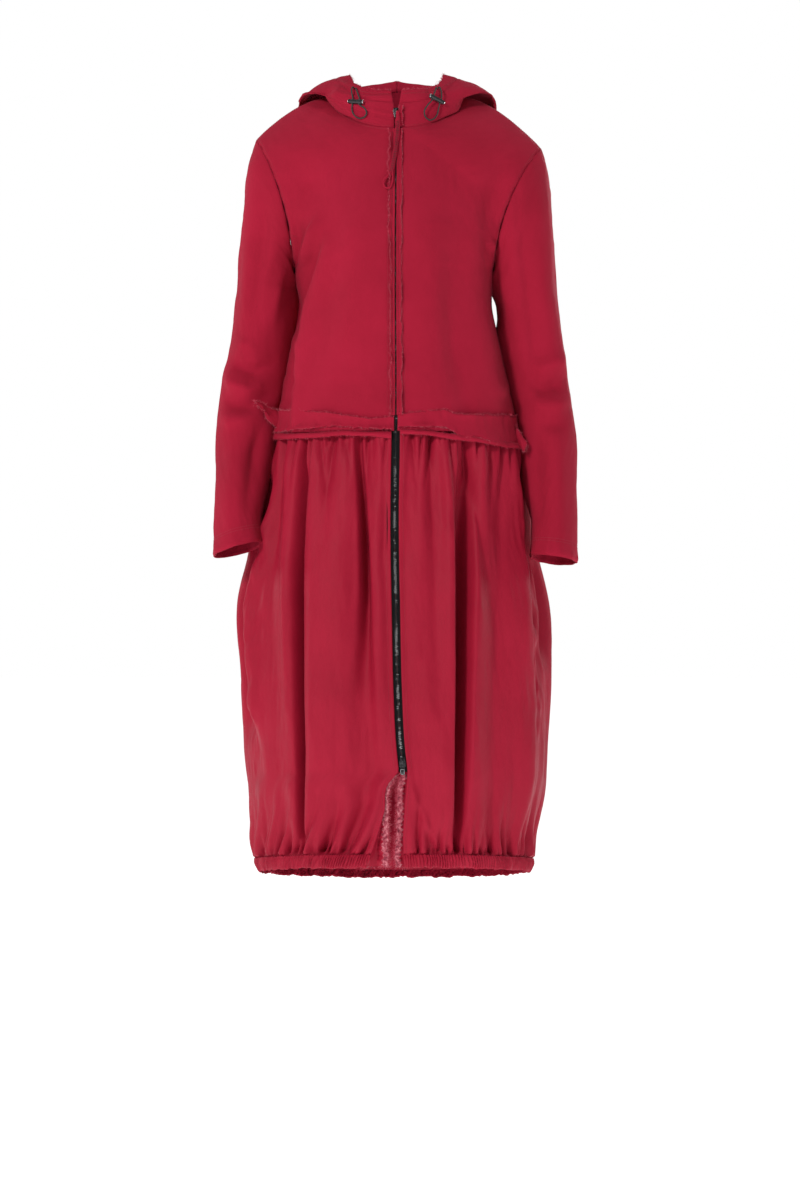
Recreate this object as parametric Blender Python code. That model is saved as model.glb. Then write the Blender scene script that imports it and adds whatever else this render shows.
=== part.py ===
"""Jacket dress, worn and hollow: hooded jersey jacket on a gathered skirt with an elastic hem.

Metres, +Z up, front towards -Y. The wearer's right is -X. Z = 0 is the level of the neck on the shoulders.
Every cloth panel is worked out on the +X side as a grid of points on its outer face, then given a wall
inwards, and mirrored for the other side.
"""
import math
from collections import namedtuple

import bmesh
import bpy
import numpy as np
from mathutils import Matrix, Vector

# ---- cloth and hardware thicknesses ----
JERSEY = 0.0016
WOVEN = 0.0011
BAND = 0.0014
CASING = 0.0030
TAPE = 0.0007
GAP = 0.0003

# ---- main sizes ----
NECK_Y = 0.006
NECK_HALF = 0.090
NECK_FRONT = 0.094
NECK_BACK = 0.062
NECK_PIT_Z = -0.050
NECK_SIDE_Z = 0.006
NECK_NAPE_Z = 0.024
WAIST_Z = -0.470
SIDE_SEAM_Y = 0.004
ZIP_TOP_Z = -0.024
ZIP_END_Z = -0.932
HEM_Z = -1.063
CASING_HEIGHT = 0.019
HEM_DROP_BACK = 0.038
HEM_DROP_START_Z = -0.560
BODICE_HALF_GAP = 0.0024
SKIRT_HALF_GAP = 0.0058

CHAIN_WIDTH = 0.0042
CHAIN_DEPTH = 0.0022
SLIDER_WIDTH = 0.0084
SLIDER_HEIGHT = 0.0140
SLIDER_DEPTH = 0.0020
SLIDER_Z = -0.919
TOP_SLIDER_STAND = 0.0034
SLIDER_NECK_WIDTH = 0.0030
BRIDGE_WIDTH = 0.0022
BRIDGE_HALF_HEIGHT = 0.0038
BRIDGE_BAR = 0.0011
BRIDGE_CLEAR = 0.0024
TAB_WIDTH = 0.0062
TAB_LENGTH = 0.0165
TAB_DEPTH = 0.0012
TAB_ARM = 0.0014
TAB_WINDOW = 0.0058
PULL_WIDTH = 0.0080
PULL_DEPTH = 0.0030
PULL_STANDOFF = 0.0036
PLACKET_SHARE = 0.42
CORD_DIAMETER = 0.0020
CORD_STEP = 0.0040
LOCK_LENGTH = 0.0250
LOCK_SIZE = 0.0060
LOCK_HOLE_RADIUS = 0.0018

RIGHT = "right"
LEFT = "left"
SIGN = {RIGHT: -1.0, LEFT: 1.0}
DRESS_RED = (0.350, 0.014, 0.034, 1.0)
BLACK = (0.012, 0.012, 0.013, 1.0)

# ---- bodice and skirt rings below the underarm ----
Ring = namedtuple("Ring", "z right left front back")
BODICE = (
    Ring(-0.476, 0.1730, 0.1740, 0.140, 0.130),
    Ring(-0.410, 0.1630, 0.1600, 0.137, 0.118),
    Ring(-0.350, 0.1540, 0.1440, 0.134, 0.108),
    Ring(-0.290, 0.1410, 0.1315, 0.136, 0.106),
    Ring(-0.240, 0.1450, 0.1360, 0.131, 0.107),
)
SKIRT = (
    Ring(-1.110, 0.1850, 0.1840, 0.149, 0.149),
    Ring(-1.066, 0.1930, 0.1890, 0.153, 0.155),
    Ring(-1.045, 0.2030, 0.1970, 0.160, 0.163),
    Ring(-1.000, 0.2090, 0.2040, 0.166, 0.170),
    Ring(-0.900, 0.2130, 0.2100, 0.170, 0.177),
    Ring(-0.800, 0.2160, 0.2130, 0.168, 0.178),
    Ring(-0.700, 0.2180, 0.2120, 0.163, 0.172),
    Ring(-0.620, 0.2000, 0.1950, 0.157, 0.162),
    Ring(-0.540, 0.1900, 0.1870, 0.150, 0.148),
    Ring(-0.470, 0.1722, 0.1730, 0.140, 0.1295),
)
QUARTER_FULLNESS = 0.60
SKIRT_SIDE_Y = 0.016
SKIRT_SIDE_SETTLED_Z = -0.600

# ---- centre line of the zip, and the free edges of the slit ----
Centre = namedtuple("Centre", "z zip_x")
ZIP_LINE = (
    Centre(-1.110, 0.0090),
    Centre(-0.932, 0.0086),
    Centre(-0.900, 0.0052),
    Centre(-0.820, 0.0010),
    Centre(-0.720, -0.0012),
    Centre(-0.590, -0.0032),
    Centre(-0.475, -0.0016),
    Centre(-0.250, -0.0020),
    Centre(0.030, -0.0005),
)
Slit = namedtuple("Slit", "z right left facing_right facing_left")
SLIT = (
    Slit(-1.110, 0.0560, 0.0115, 0.0125, -0.0050),
    Slit(-1.063, 0.0420, 0.0109, 0.0120, -0.0034),
    Slit(-1.020, 0.0270, 0.0085, 0.0116, -0.0012),
    Slit(-0.984, 0.0165, 0.0105, 0.0110, 0.0004),
    Slit(-0.948, 0.0112, 0.0135, 0.0060, 0.0020),
    Slit(-0.932, -0.0028, 0.0144, -0.0060, 0.0090),
)

# ---- centre lines of the front and back above the underarm ----
Height = namedtuple("Height", "step front_y front_z back_y back_z")
CENTRE_LINES = (
    Height(0, -0.131, -0.240, 0.107, -0.240),
    Height(1, -0.125, -0.195, 0.109, -0.180),
    Height(2, -0.114, -0.145, 0.104, -0.115),
    Height(3, -0.101, -0.095, 0.090, -0.045),
    Height(4, -0.088, -0.050, 0.068, 0.024),
)
PIT_STEP = 4
ARM_STEPS = 8

# ---- armhole loops, and the handles that shape the rows between neck and armhole ----
Armhole = namedtuple("Armhole", "tip_x tip_z under_x under_z")
ARMHOLES = {
    RIGHT: Armhole(0.1970, -0.0560, 0.1450, -0.240),
    LEFT: Armhole(0.2020, -0.0680, 0.1360, -0.240),
}
ARMHOLE_FRONT_DEPTH = 0.070
ARMHOLE_BACK_DEPTH = 0.076
ARMHOLE_FRONT_HOLLOW = 1.9
ARMHOLE_BACK_HOLLOW = 1.5
Handle = namedtuple("Handle", "step in_x in_y in_z out_x out_y out_z")
FRONT_HANDLES = (
    Handle(0, 0.084, 0.000, 0.000, 0.000, -0.081, 0.000),
    Handle(2, 0.070, -0.006, -0.018, -0.014, -0.052, 0.006),
    Handle(4, 0.055, -0.009, -0.030, -0.040, -0.026, 0.014),
    Handle(6, 0.040, -0.006, -0.012, -0.043, -0.014, 0.024),
    Handle(8, 0.035, 0.000, 0.000, -0.030, 0.000, 0.034),
)
BACK_HANDLES = (
    Handle(0, 0.084, 0.000, 0.000, 0.000, 0.066, 0.000),
    Handle(2, 0.072, 0.004, -0.016, -0.012, 0.040, 0.006),
    Handle(4, 0.058, 0.012, -0.030, -0.036, 0.022, 0.012),
    Handle(6, 0.044, 0.010, -0.010, -0.042, 0.014, 0.024),
    Handle(8, 0.035, 0.000, 0.000, -0.030, 0.000, 0.034),
)

# ---- sleeves: outer and inner edge seen from the front, and the forward swing of the forearm ----
Sleeve = namedtuple("Sleeve", "z outer inner mid_y half_y")
SLEEVES = {
    RIGHT: (
        Sleeve(-0.268, 0.2220, 0.1580, 0.004, 0.060),
        Sleeve(-0.330, 0.2310, 0.1670, 0.007, 0.057),
        Sleeve(-0.400, 0.2460, 0.1800, 0.004, 0.054),
        Sleeve(-0.470, 0.2520, 0.1880, -0.012, 0.050),
        Sleeve(-0.550, 0.2530, 0.1885, -0.034, 0.047),
        Sleeve(-0.631, 0.2540, 0.1840, -0.056, 0.046),
    ),
    LEFT: (
        Sleeve(-0.272, 0.2225, 0.1420, 0.004, 0.061),
        Sleeve(-0.330, 0.2300, 0.1450, 0.008, 0.058),
        Sleeve(-0.400, 0.2410, 0.1620, 0.005, 0.054),
        Sleeve(-0.470, 0.2500, 0.1810, -0.012, 0.050),
        Sleeve(-0.560, 0.2500, 0.1850, -0.036, 0.047),
        Sleeve(-0.645, 0.2480, 0.1840, -0.058, 0.046),
    ),
}
CUFF_TILT_X = {RIGHT: -0.27, LEFT: -0.13}
CUFF_TILT_Y = -0.12
SLEEVE_TOP_PULL = (0.019, -0.006, -0.042)
SLEEVE_UNDER_PULL = (0.004, 0.000, -0.006)
SLEEVE_RISE_TOP = 0.072
SLEEVE_RISE_UNDER = 0.008
SLEEVE_RISE_LEAN = (-0.08, 0.0, 1.0)
SLEEVE_HEAD_STEPS = (0.0, 0.22, 0.45, 0.72)
SLEEVE_LEVELS = (-0.315, -0.360, -0.400, -0.440, -0.490, -0.560)

# ---- hood, lying down: guide lines around the neck, as radius and height at each angle from the front ----
Rib = namedtuple("Rib", "angle stand_r stand_z inner_r inner_z fold_r fold_z outer_r outer_z edge_r edge_z")
HOOD = (
    Rib(0, 0.0925, -0.042, 0.0910, -0.033, 0.0885, -0.021, 0.0850, -0.009, 0.0800, 0.003),
    Rib(30, 0.0940, -0.037, 0.0935, -0.028, 0.0910, -0.015, 0.0850, -0.004, 0.0750, 0.007),
    Rib(60, 0.0965, -0.021, 0.1000, -0.012, 0.1010, -0.002, 0.0910, 0.011, 0.0680, 0.022),
    Rib(90, 0.0990, 0.0115, 0.1160, 0.0115, 0.1330, 0.0070, 0.1040, 0.024, 0.0660, 0.035),
    Rib(120, 0.1010, 0.019, 0.1270, 0.002, 0.1500, -0.040, 0.1360, 0.010, 0.0860, 0.034),
    Rib(150, 0.0870, 0.029, 0.1120, -0.022, 0.1440, -0.120, 0.1520, -0.028, 0.1060, 0.022),
    Rib(180, 0.0760, 0.033, 0.1010, -0.035, 0.1270, -0.165, 0.1480, -0.060, 0.1160, 0.014),
)
HOOD_LIFT = 0.0010
HOOD_NOTCH_LEAN = 0.0050
HOOD_COLUMNS = 2 * ARM_STEPS - 2 * PIT_STEP
HOOD_ROWS = 10

# ---- largest folds of the skirt: place round the side (0 front, 1 side seam, 2 centre back), drift, size ----
Fold = namedtuple("Fold", "top low half depth z_top z_low")
FOLDS = {
    RIGHT: (
        Fold(0.160, 0.170, 0.075, -0.011, -0.475, -0.740),
        Fold(0.300, 0.280, 0.090, 0.008, -0.480, -1.020),
        Fold(0.470, 0.410, 0.085, -0.014, -0.500, -1.050),
        Fold(0.640, 0.560, 0.100, 0.009, -0.476, -0.860),
        Fold(0.860, 0.860, 0.160, -0.026, -0.490, -0.715),
        Fold(0.780, 0.830, 0.090, 0.008, -0.700, -1.010),
        Fold(0.980, 1.020, 0.090, -0.012, -0.660, -1.040),
        Fold(1.180, 1.200, 0.110, 0.010, -0.500, -1.030),
        Fold(1.360, 1.350, 0.090, -0.014, -0.480, -1.000),
        Fold(1.520, 1.530, 0.100, 0.009, -0.520, -1.040),
        Fold(1.700, 1.690, 0.090, -0.013, -0.490, -0.960),
        Fold(1.880, 1.880, 0.100, 0.009, -0.560, -1.040),
    ),
    LEFT: (
        Fold(0.200, 0.190, 0.080, 0.006, -0.500, -0.960),
        Fold(0.310, 0.300, 0.070, -0.016, -0.475, -1.050),
        Fold(0.420, 0.400, 0.080, 0.008, -0.480, -1.020),
        Fold(0.530, 0.520, 0.070, -0.008, -0.480, -0.930),
        Fold(0.650, 0.620, 0.090, 0.010, -0.600, -1.020),
        Fold(0.860, 0.860, 0.160, -0.026, -0.490, -0.715),
        Fold(0.790, 0.800, 0.080, -0.009, -0.720, -1.030),
        Fold(0.990, 1.010, 0.090, -0.010, -0.680, -1.020),
        Fold(1.150, 1.170, 0.100, 0.010, -0.520, -1.040),
        Fold(1.300, 1.320, 0.080, -0.012, -0.480, -0.940),
        Fold(1.460, 1.450, 0.110, 0.011, -0.500, -1.030),
        Fold(1.640, 1.650, 0.090, -0.014, -0.480, -1.040),
        Fold(1.830, 1.820, 0.090, 0.008, -0.540, -0.980),
    ),
}

FOLD_FADE = 0.30
FOLDS_START = (0.03, 0.12)

# ---- fabric pull on the top slider, hanging down the front ----
Pull = namedtuple("Pull", "z x")
PULL_ROUTE = (
    Pull(-0.0405, 0.0012),
    Pull(-0.0600, 0.0004),
    Pull(-0.0850, -0.0022),
    Pull(-0.1050, -0.0062),
    Pull(-0.1220, -0.0112),
    Pull(-0.1360, -0.0142),
)

# ---- drawcord loops and their locks (x on the +X side): out of the hood, through the lock, round and back ----
CORD_ROUTES = {
    RIGHT: (
        (0.0594, -0.0524, 0.0082), (0.0612, -0.0562, 0.0098), (0.0628, -0.0630, 0.0040),
        (0.0609, -0.0695, -0.0085), (0.0615, -0.0693, -0.0158), (0.0621, -0.0700, -0.0220),
        (0.0606, -0.0716, -0.0285), (0.0562, -0.0737, -0.0340), (0.0505, -0.0768, -0.0365),
        (0.0445, -0.0802, -0.0348), (0.0418, -0.0820, -0.0295), (0.0450, -0.0800, -0.0225),
        (0.0521, -0.0749, -0.0168), (0.0515, -0.0752, -0.0100), (0.0545, -0.0690, 0.0000),
        (0.0570, -0.0606, 0.0075), (0.0566, -0.0546, 0.0082),
    ),
    LEFT: (
        (0.0566, -0.0546, 0.0076), (0.0588, -0.0588, 0.0090), (0.0614, -0.0650, 0.0020),
        (0.0612, -0.0691, -0.0082), (0.0590, -0.0703, -0.0152), (0.0572, -0.0722, -0.0230),
        (0.0556, -0.0738, -0.0305), (0.0512, -0.0768, -0.0368), (0.0450, -0.0800, -0.0392),
        (0.0392, -0.0826, -0.0350), (0.0378, -0.0836, -0.0270), (0.0425, -0.0808, -0.0185),
        (0.0486, -0.0768, -0.0109), (0.0508, -0.0754, -0.0036), (0.0532, -0.0690, 0.0040),
        (0.0546, -0.0622, 0.0084), (0.0538, -0.0568, 0.0076),
    ),
}
Lock = namedtuple("Lock", "x y z axis_x axis_y axis_z hole")
LOCKS = {
    RIGHT: Lock(0.0565, -0.0722, -0.0128, 0.850, 0.510, 0.120, 0.0055),
    LEFT: Lock(0.0549, -0.0729, -0.0095, 0.800, 0.485, -0.358, 0.0065),
}

# ---- grid steps ----
BODICE_LEVELS = (WAIST_Z, -0.457, -0.444, -0.405, -0.365, -0.325, -0.285)
SKIRT_LEVELS = (WAIST_Z - GAP, -0.4815, -0.512, -0.555, -0.605, -0.660, -0.715, -0.780, -0.855,
                ZIP_END_Z, -0.970, -1.008, HEM_Z + CASING_HEIGHT)
TAPE_STEP = 0.045
SKIRT_TAPE_STEP = 0.036
BODICE_STEPS = (0.0, TAPE_STEP) + tuple(TAPE_STEP + (1.0 - TAPE_STEP) * n / 8 for n in range(1, 9))
SKIRT_FRONT_STEPS = (0.0, SKIRT_TAPE_STEP) + tuple(
    SKIRT_TAPE_STEP + (1.0 - SKIRT_TAPE_STEP) * n / 14 for n in range(1, 15))
SKIRT_BACK_STEPS = tuple(1.0 + n / 13 for n in range(14))
BAND_ROWS = 3
TAPE_SHARE_SKIRT = 0.60
TAPE_SHARE_HOOD = 0.33
HOOD_ZIP_ROWS = (1, 3, 5)
COLLAR_SET_BACK = 0.0008
EDGE_INSET = GAP / 2
FINE_STEPS = 400
TINY = 1e-9


# ---------------------------------------------------------------- curves and grids
def smooth(rows, field, at, key="z"):
    """A column of a table at the given stations, on a smooth curve through its rows."""
    known = np.array([[getattr(row, key), getattr(row, field)] for row in rows])
    known = known[np.argsort(known[:, 0])]
    x, y = known[:, 0], known[:, 1]
    slope = np.gradient(y, x)
    at = np.clip(np.asarray(at, float), x[0], x[-1])
    left = np.clip(np.searchsorted(x, at, side="right") - 1, 0, len(x) - 2)
    step = x[left + 1] - x[left]
    t = (at - x[left]) / step
    return ((1 + 2 * t) * (1 - t) ** 2 * y[left] + t * (1 - t) ** 2 * step * slope[left]
            + t * t * (3 - 2 * t) * y[left + 1] + t * t * (t - 1) * step * slope[left + 1])


def ease(start, end, at):
    """0 at the start, 1 at the end, level at both."""
    t = np.clip((np.asarray(at, float) - start) / (end - start), 0.0, 1.0)
    return t * t * (3 - 2 * t)


def unit(vectors):
    return vectors / np.maximum(np.linalg.norm(vectors, axis=-1, keepdims=True), TINY)


def between(start, start_handle, end_handle, end, t):
    s = 1 - t
    return s ** 3 * start + 3 * s * s * t * start_handle + 3 * s * t * t * end_handle + t ** 3 * end


def bezier(start, start_handle, end_handle, end, steps):
    return between(start, start_handle, end_handle, end, np.asarray(steps, float)[:, None])


def spline(points, steps):
    """A smooth curve through a few points, read at steps from 0 to 1."""
    points = np.asarray(points, float)
    Station = namedtuple("Station", "z a")
    at = np.linspace(0, 1, len(points))
    columns = [smooth([Station(z, v) for z, v in zip(at, points[:, axis])], "a", steps) for axis in range(3)]
    return np.stack(columns, axis=-1)


def squared(skin):
    """Turns the wall straight back along a free front edge."""
    edge = skin.index[:, 0]
    skin.normals[edge] = unit(skin.normals[edge] * (0, 1, 1))
    return skin


class Skin:
    """A cloth surface: rows by columns of points on the outer face, with outward normals."""

    def __init__(self, grid, closed=False, centred=False):
        grid = np.asarray(grid, float)
        self.rows, self.columns = grid.shape[:2]
        self.closed = closed
        self.index = np.arange(self.rows * self.columns).reshape(self.rows, self.columns)
        padded = np.concatenate([grid[:, -1:], grid, grid[:, :1]], axis=1) if closed else grid
        across = np.gradient(padded, axis=1)
        along = np.gradient(padded, axis=0)
        if closed:
            across, along = across[:, 1:-1], along[:, 1:-1]
        normals = unit(np.cross(across, along))
        if centred:
            on_centre = np.abs(grid[:, :, 0]) < TINY
            normals[on_centre, 0] = 0.0
            normals = unit(normals)
        self.points = grid.reshape(-1, 3).copy()
        self.normals = normals.reshape(-1, 3).copy()

    def triangles(self):
        """Every cell split along the same diagonal, so that cloth laid on cloth bends with it."""
        index = np.concatenate([self.index, self.index[:, :1]], axis=1) if self.closed else self.index
        for row in range(self.rows - 1):
            for column in range(index.shape[1] - 1):
                corner, opposite = index[row, column], index[row + 1, column + 1]
                yield corner, index[row, column + 1], opposite
                yield corner, opposite, index[row + 1, column]


def butt(skin_a, edge_a, next_a, skin_b, edge_b, next_b):
    """Share the wall direction where two skins meet over a ridge, and open the seam gap between them."""
    towards_b = unit(skin_b.points[next_b] - skin_b.points[edge_b])
    shared = unit(skin_a.normals[edge_a] + skin_b.normals[edge_b])
    ridge = (skin_a.normals[edge_a] * towards_b).sum(axis=1) < 0
    for skin, edge, inside in ((skin_a, edge_a, next_a), (skin_b, edge_b, next_b)):
        skin.normals[edge[ridge]] = shared[ridge]
        skin.points[edge] += unit(skin.points[inside] - skin.points[edge]) * EDGE_INSET


def inset(skin, edge, inside, amount=EDGE_INSET):
    skin.points[edge] += unit(skin.points[inside] - skin.points[edge]) * amount


# ---------------------------------------------------------------- meshes
def material(name, colour, roughness, metallic=0.0):
    made = bpy.data.materials.new(name)
    made.use_nodes = True
    shader = made.node_tree.nodes["Principled BSDF"]
    shader.inputs["Base Color"].default_value = colour
    shader.inputs["Roughness"].default_value = roughness
    shader.inputs["Metallic"].default_value = metallic
    return made


def add_object(name, points, faces, look=None):
    mesh = bpy.data.meshes.new(name)
    shape = bmesh.new()
    corners = [shape.verts.new(point) for point in points]
    for face in faces:
        shape.faces.new([corners[number] for number in face])
    bmesh.ops.recalc_face_normals(shape, faces=shape.faces)
    shape.to_mesh(mesh)
    shape.free()
    if look:
        mesh.materials.append(look)
    made = bpy.data.objects.new(name, mesh)
    bpy.context.scene.collection.objects.link(made)
    return made


def wall(name, parts, thickness, look, lift=0.0):
    """A closed wall from one or more skins: (skin, side) pairs that share the points they have in common."""
    places = {}
    outer, normals, cells = [], [], []
    for skin, side in parts:
        mirror = np.array([SIGN[side], 1.0, 1.0])
        numbers = []
        for point, normal in zip(skin.points * mirror, skin.normals * mirror):
            key = tuple(np.round(point, 6))
            if key not in places:
                places[key] = len(outer)
                outer.append(point)
                normals.append(normal)
            numbers.append(places[key])
        for cell in skin.triangles():
            ordered = cell if side == LEFT else cell[::-1]
            cells.append([numbers[corner] for corner in ordered])
    outer, normals = np.array(outer), np.array(normals)
    top = outer + normals * lift
    bottom = outer + normals * (lift - thickness)
    count = len(outer)
    edges = {}
    for cell in cells:
        for a, b in zip(cell, cell[1:] + cell[:1]):
            edges[(a, b)] = edges.get((a, b), 0) + 1
    faces = list(cells)
    faces += [[corner + count for corner in cell[::-1]] for cell in cells]
    rim = [(a, b) for a, b in edges if (b, a) not in edges]
    faces += [[b, a, a + count] for a, b in rim] + [[b, a + count, b + count] for a, b in rim]
    return add_object(name, np.concatenate([top, bottom]), faces, look)


def sweep(name, centres, section, sides, ups, look):
    """A bar along a list of centres; the section's points are (side, up) offsets at each centre."""
    rings = []
    for centre, side, up in zip(centres, sides, ups):
        rings += [centre + side * a + up * b for a, b in section]
    size = len(section)
    faces = [list(range(size)), list(range(len(rings) - size, len(rings)))]
    for ring in range(len(centres) - 1):
        for corner in range(size):
            after = (corner + 1) % size
            base = ring * size
            faces.append([base + corner, base + after, base + size + after, base + size + corner])
    return add_object(name, rings, faces, look)


# ---------------------------------------------------------------- where the cloth lies (all on the +X side)
def zip_x(side, z):
    return SIGN[side] * smooth(ZIP_LINE, "zip_x", z)


def bodice_edge(side, z):
    return zip_x(side, z) + BODICE_HALF_GAP


def skirt_edge(side, z):
    zipped = zip_x(side, z) + SKIRT_HALF_GAP
    return np.where(np.asarray(z) < ZIP_END_Z, smooth(SLIT, side, z), zipped)


def quarter(edge_x, front_y, half, side_y, steps):
    """Quarter ring from the centre line to the side seam, at one level (x and y only)."""
    start = np.array([edge_x, front_y, 0.0])
    end = np.array([half, side_y, 0.0])
    reach = QUARTER_FULLNESS * (half - edge_x)
    turn = QUARTER_FULLNESS * (side_y - front_y)
    return bezier(start, start + (reach, 0, 0), end - (0, turn, 0), end, steps)


def bodice_ring(side, z, steps, front):
    half = smooth(BODICE, side, z)
    centre_y = -smooth(BODICE, "front", z) if front else smooth(BODICE, "back", z)
    edge = bodice_edge(side, z) if front else 0.0
    row = quarter(edge, centre_y, half, SIDE_SEAM_Y, steps)
    row[:, 2] = z
    return row


def neckline(side, angle):
    """The neck seam, at an angle from the front (0) round to the nape (pi)."""
    edge = bodice_edge(side, NECK_PIT_Z)
    turn = math.sin(angle)
    x = NECK_HALF * turn + (edge * (1 - turn) if angle < math.pi / 2 else 0.0)
    depth = NECK_FRONT if angle < math.pi / 2 else NECK_BACK
    y = NECK_Y - depth * math.cos(angle)
    if angle < math.pi / 2:
        z = NECK_PIT_Z + (NECK_SIDE_Z - NECK_PIT_Z) * (1 - math.cos(angle))
    else:
        z = NECK_SIDE_Z + (NECK_NAPE_Z - NECK_SIDE_Z) * (1 - turn)
    return np.array([x, y, z])


def armhole(side, step, front):
    """The armhole seam, from under the arm (step 0) up to the shoulder tip (step 8)."""
    loop = ARMHOLES[side]
    angle = math.pi * (1 - step / ARM_STEPS)
    rise = (1 + math.cos(angle)) / 2
    hollow = ARMHOLE_FRONT_HOLLOW if front else ARMHOLE_BACK_HOLLOW
    depth = -ARMHOLE_FRONT_DEPTH if front else ARMHOLE_BACK_DEPTH
    return np.array([loop.under_x + (loop.tip_x - loop.under_x) * rise ** hollow,
                     SIDE_SEAM_Y + depth * math.sin(angle),
                     loop.under_z + (loop.tip_z - loop.under_z) * rise])


def yoke_row(side, step, steps, front):
    """A row of the bodice above the underarm, from the centre line or the neck to the armhole."""
    handles = FRONT_HANDLES if front else BACK_HANDLES
    if step <= PIT_STEP:
        name = "front" if front else "back"
        z = float(smooth(CENTRE_LINES, name + "_z", step, "step"))
        x = bodice_edge(side, z) if front else 0.0
        start = np.array([x, float(smooth(CENTRE_LINES, name + "_y", step, "step")), z])
    else:
        turn = math.pi / 2 * (step - PIT_STEP) / (ARM_STEPS - PIT_STEP)
        start = neckline(side, turn if front else math.pi - turn)
    end = armhole(side, step, front)
    inner, outer = ([float(smooth(handles, way + "_" + axis, step, "step")) for axis in "xyz"]
                    for way in ("in", "out"))
    return bezier(start, start + inner, end + outer, end, steps)


def bodice_grid(side, front):
    rows = [bodice_ring(side, z, BODICE_STEPS, front) for z in BODICE_LEVELS]
    rows += [yoke_row(side, step, BODICE_STEPS, front) for step in range(ARM_STEPS + 1)]
    grid = np.array(rows)
    return grid if front else grid[:, ::-1]


def sleeve_ring(side, z, turns):
    """A ring of the sleeve: turn 0 is its outer edge, a quarter turn its front."""
    table = SLEEVES[side]
    outer, inner, mid_y, half_y = (float(smooth(table, name, z)) for name in Sleeve._fields[1:])
    reach = (outer - inner) / 2
    x = (outer + inner) / 2 + reach * np.cos(turns)
    y = mid_y - half_y * np.sin(turns)
    tilt = ease(table[-3].z, table[-1].z, z)
    height = z + tilt * (CUFF_TILT_X[side] * reach * np.cos(turns) + CUFF_TILT_Y * (y - mid_y))
    return np.stack([x, y, height], axis=-1)


def sleeve_grid(side):
    count = 2 * ARM_STEPS
    turns = np.arange(count) * 2 * math.pi / count
    loop = [armhole(side, ARM_STEPS - n, True) for n in range(ARM_STEPS)]
    loop += [armhole(side, n, False) for n in range(ARM_STEPS)]
    loop = np.array(loop)
    table = SLEEVES[side]
    first = sleeve_ring(side, table[0].z, turns)
    share = ((1 + np.cos(turns)) / 2)[:, None]
    pull = share * np.array(SLEEVE_TOP_PULL) + (1 - share) * np.array(SLEEVE_UNDER_PULL)
    pull[:, 1] *= np.sin(turns)
    rise = share * SLEEVE_RISE_TOP + (1 - share) * SLEEVE_RISE_UNDER
    rows = [between(loop, loop + pull, first + rise * np.array(SLEEVE_RISE_LEAN), first, t)
            for t in SLEEVE_HEAD_STEPS]
    rows += [sleeve_ring(side, z, turns) for z in (table[0].z,) + SLEEVE_LEVELS + (table[-1].z,)]
    return np.array(rows)


def hood_rib(side, angle, steps):
    """One rib of the hood from the neck seam, out and down to its fold, and up to the raw face edge."""
    degrees = math.degrees(angle)
    seam = neckline(side, angle) + (0, 0, HOOD_LIFT)
    edge = bodice_edge(side, NECK_PIT_Z)
    points = [seam]
    for name in ("stand", "inner", "fold", "outer", "edge"):
        radius, z = (float(smooth(HOOD, name + axis, degrees, "angle")) for axis in ("_r", "_z"))
        lean = max(0.0, z - ZIP_TOP_Z) / (HOOD[0].edge_z - ZIP_TOP_Z) * HOOD_NOTCH_LEAN
        near = (edge + lean) * max(0.0, 1 - math.sin(angle)) if angle < math.pi / 2 else 0.0
        points.append(np.array([radius * math.sin(angle) + near, NECK_Y - radius * math.cos(angle), z]))
    return spline(points, steps)


def hood_grid(side):
    angles = np.linspace(0, math.pi, HOOD_COLUMNS + 1)
    steps = np.linspace(0, 1, HOOD_ROWS + 1)
    ribs = [hood_rib(side, angle, steps) for angle in angles]
    ribs[-1][:, 0] = 0.0
    return np.array(ribs).transpose(1, 0, 2)


def fold_push(side, s, z):
    """How far the largest folds push the skirt out (or in) at a place round the side and a height."""
    push = np.zeros(np.broadcast(s, z).shape)
    for own_side in (RIGHT, LEFT):
        for fold in FOLDS[own_side]:
            middle = fold.top + (fold.low - fold.top) * (z - WAIST_Z) / (HEM_Z - WAIST_Z)
            centre = middle if own_side == side else 4.0 - middle
            away = np.clip(np.abs(s - centre) / fold.half, 0, 1)
            length = fold.z_top - fold.z_low
            into = ease(fold.z_top, fold.z_top - FOLD_FADE * length, z)
            out = 1 - ease(fold.z_low + FOLD_FADE * length, fold.z_low, z)
            push += fold.depth * np.cos(away * math.pi / 2) ** 2 * into * out
    return push * ease(*FOLDS_START, s)


def skirt_row(side, z, steps):
    """A row of the skirt at places round the side (0 front edge, 1 side seam, 2 centre back)."""
    s = np.asarray(steps, float)
    half = float(smooth(SKIRT, side, z))
    front = float(smooth(SKIRT, "front", z))
    back = float(smooth(SKIRT, "back", z))
    side_y = SIDE_SEAM_Y + (SKIRT_SIDE_Y - SIDE_SEAM_Y) * float(ease(WAIST_Z, SKIRT_SIDE_SETTLED_Z, z))
    row = np.zeros((len(s), 3))
    ahead = s <= 1
    row[ahead] = quarter(float(skirt_edge(side, z)), -front, half, side_y, s[ahead])
    row[~ahead] = quarter(0.0, back, half, side_y, 2 - s[~ahead])
    outward = unit(np.stack([row[:, 0] / half ** 2, (row[:, 1] - side_y) / front ** 2, 0 * s], axis=-1))
    row += outward * fold_push(side, s, z)[:, None]
    drop = HEM_DROP_BACK * (1 - np.cos(math.pi * s / 2)) / 2
    row[:, 2] = z - drop * ease(HEM_DROP_START_Z, HEM_Z, z)
    row[s >= 2, 0] = 0.0
    return row


def skirt_grid(side, steps, levels):
    return np.array([skirt_row(side, z, steps) for z in levels[::-1]])


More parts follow.
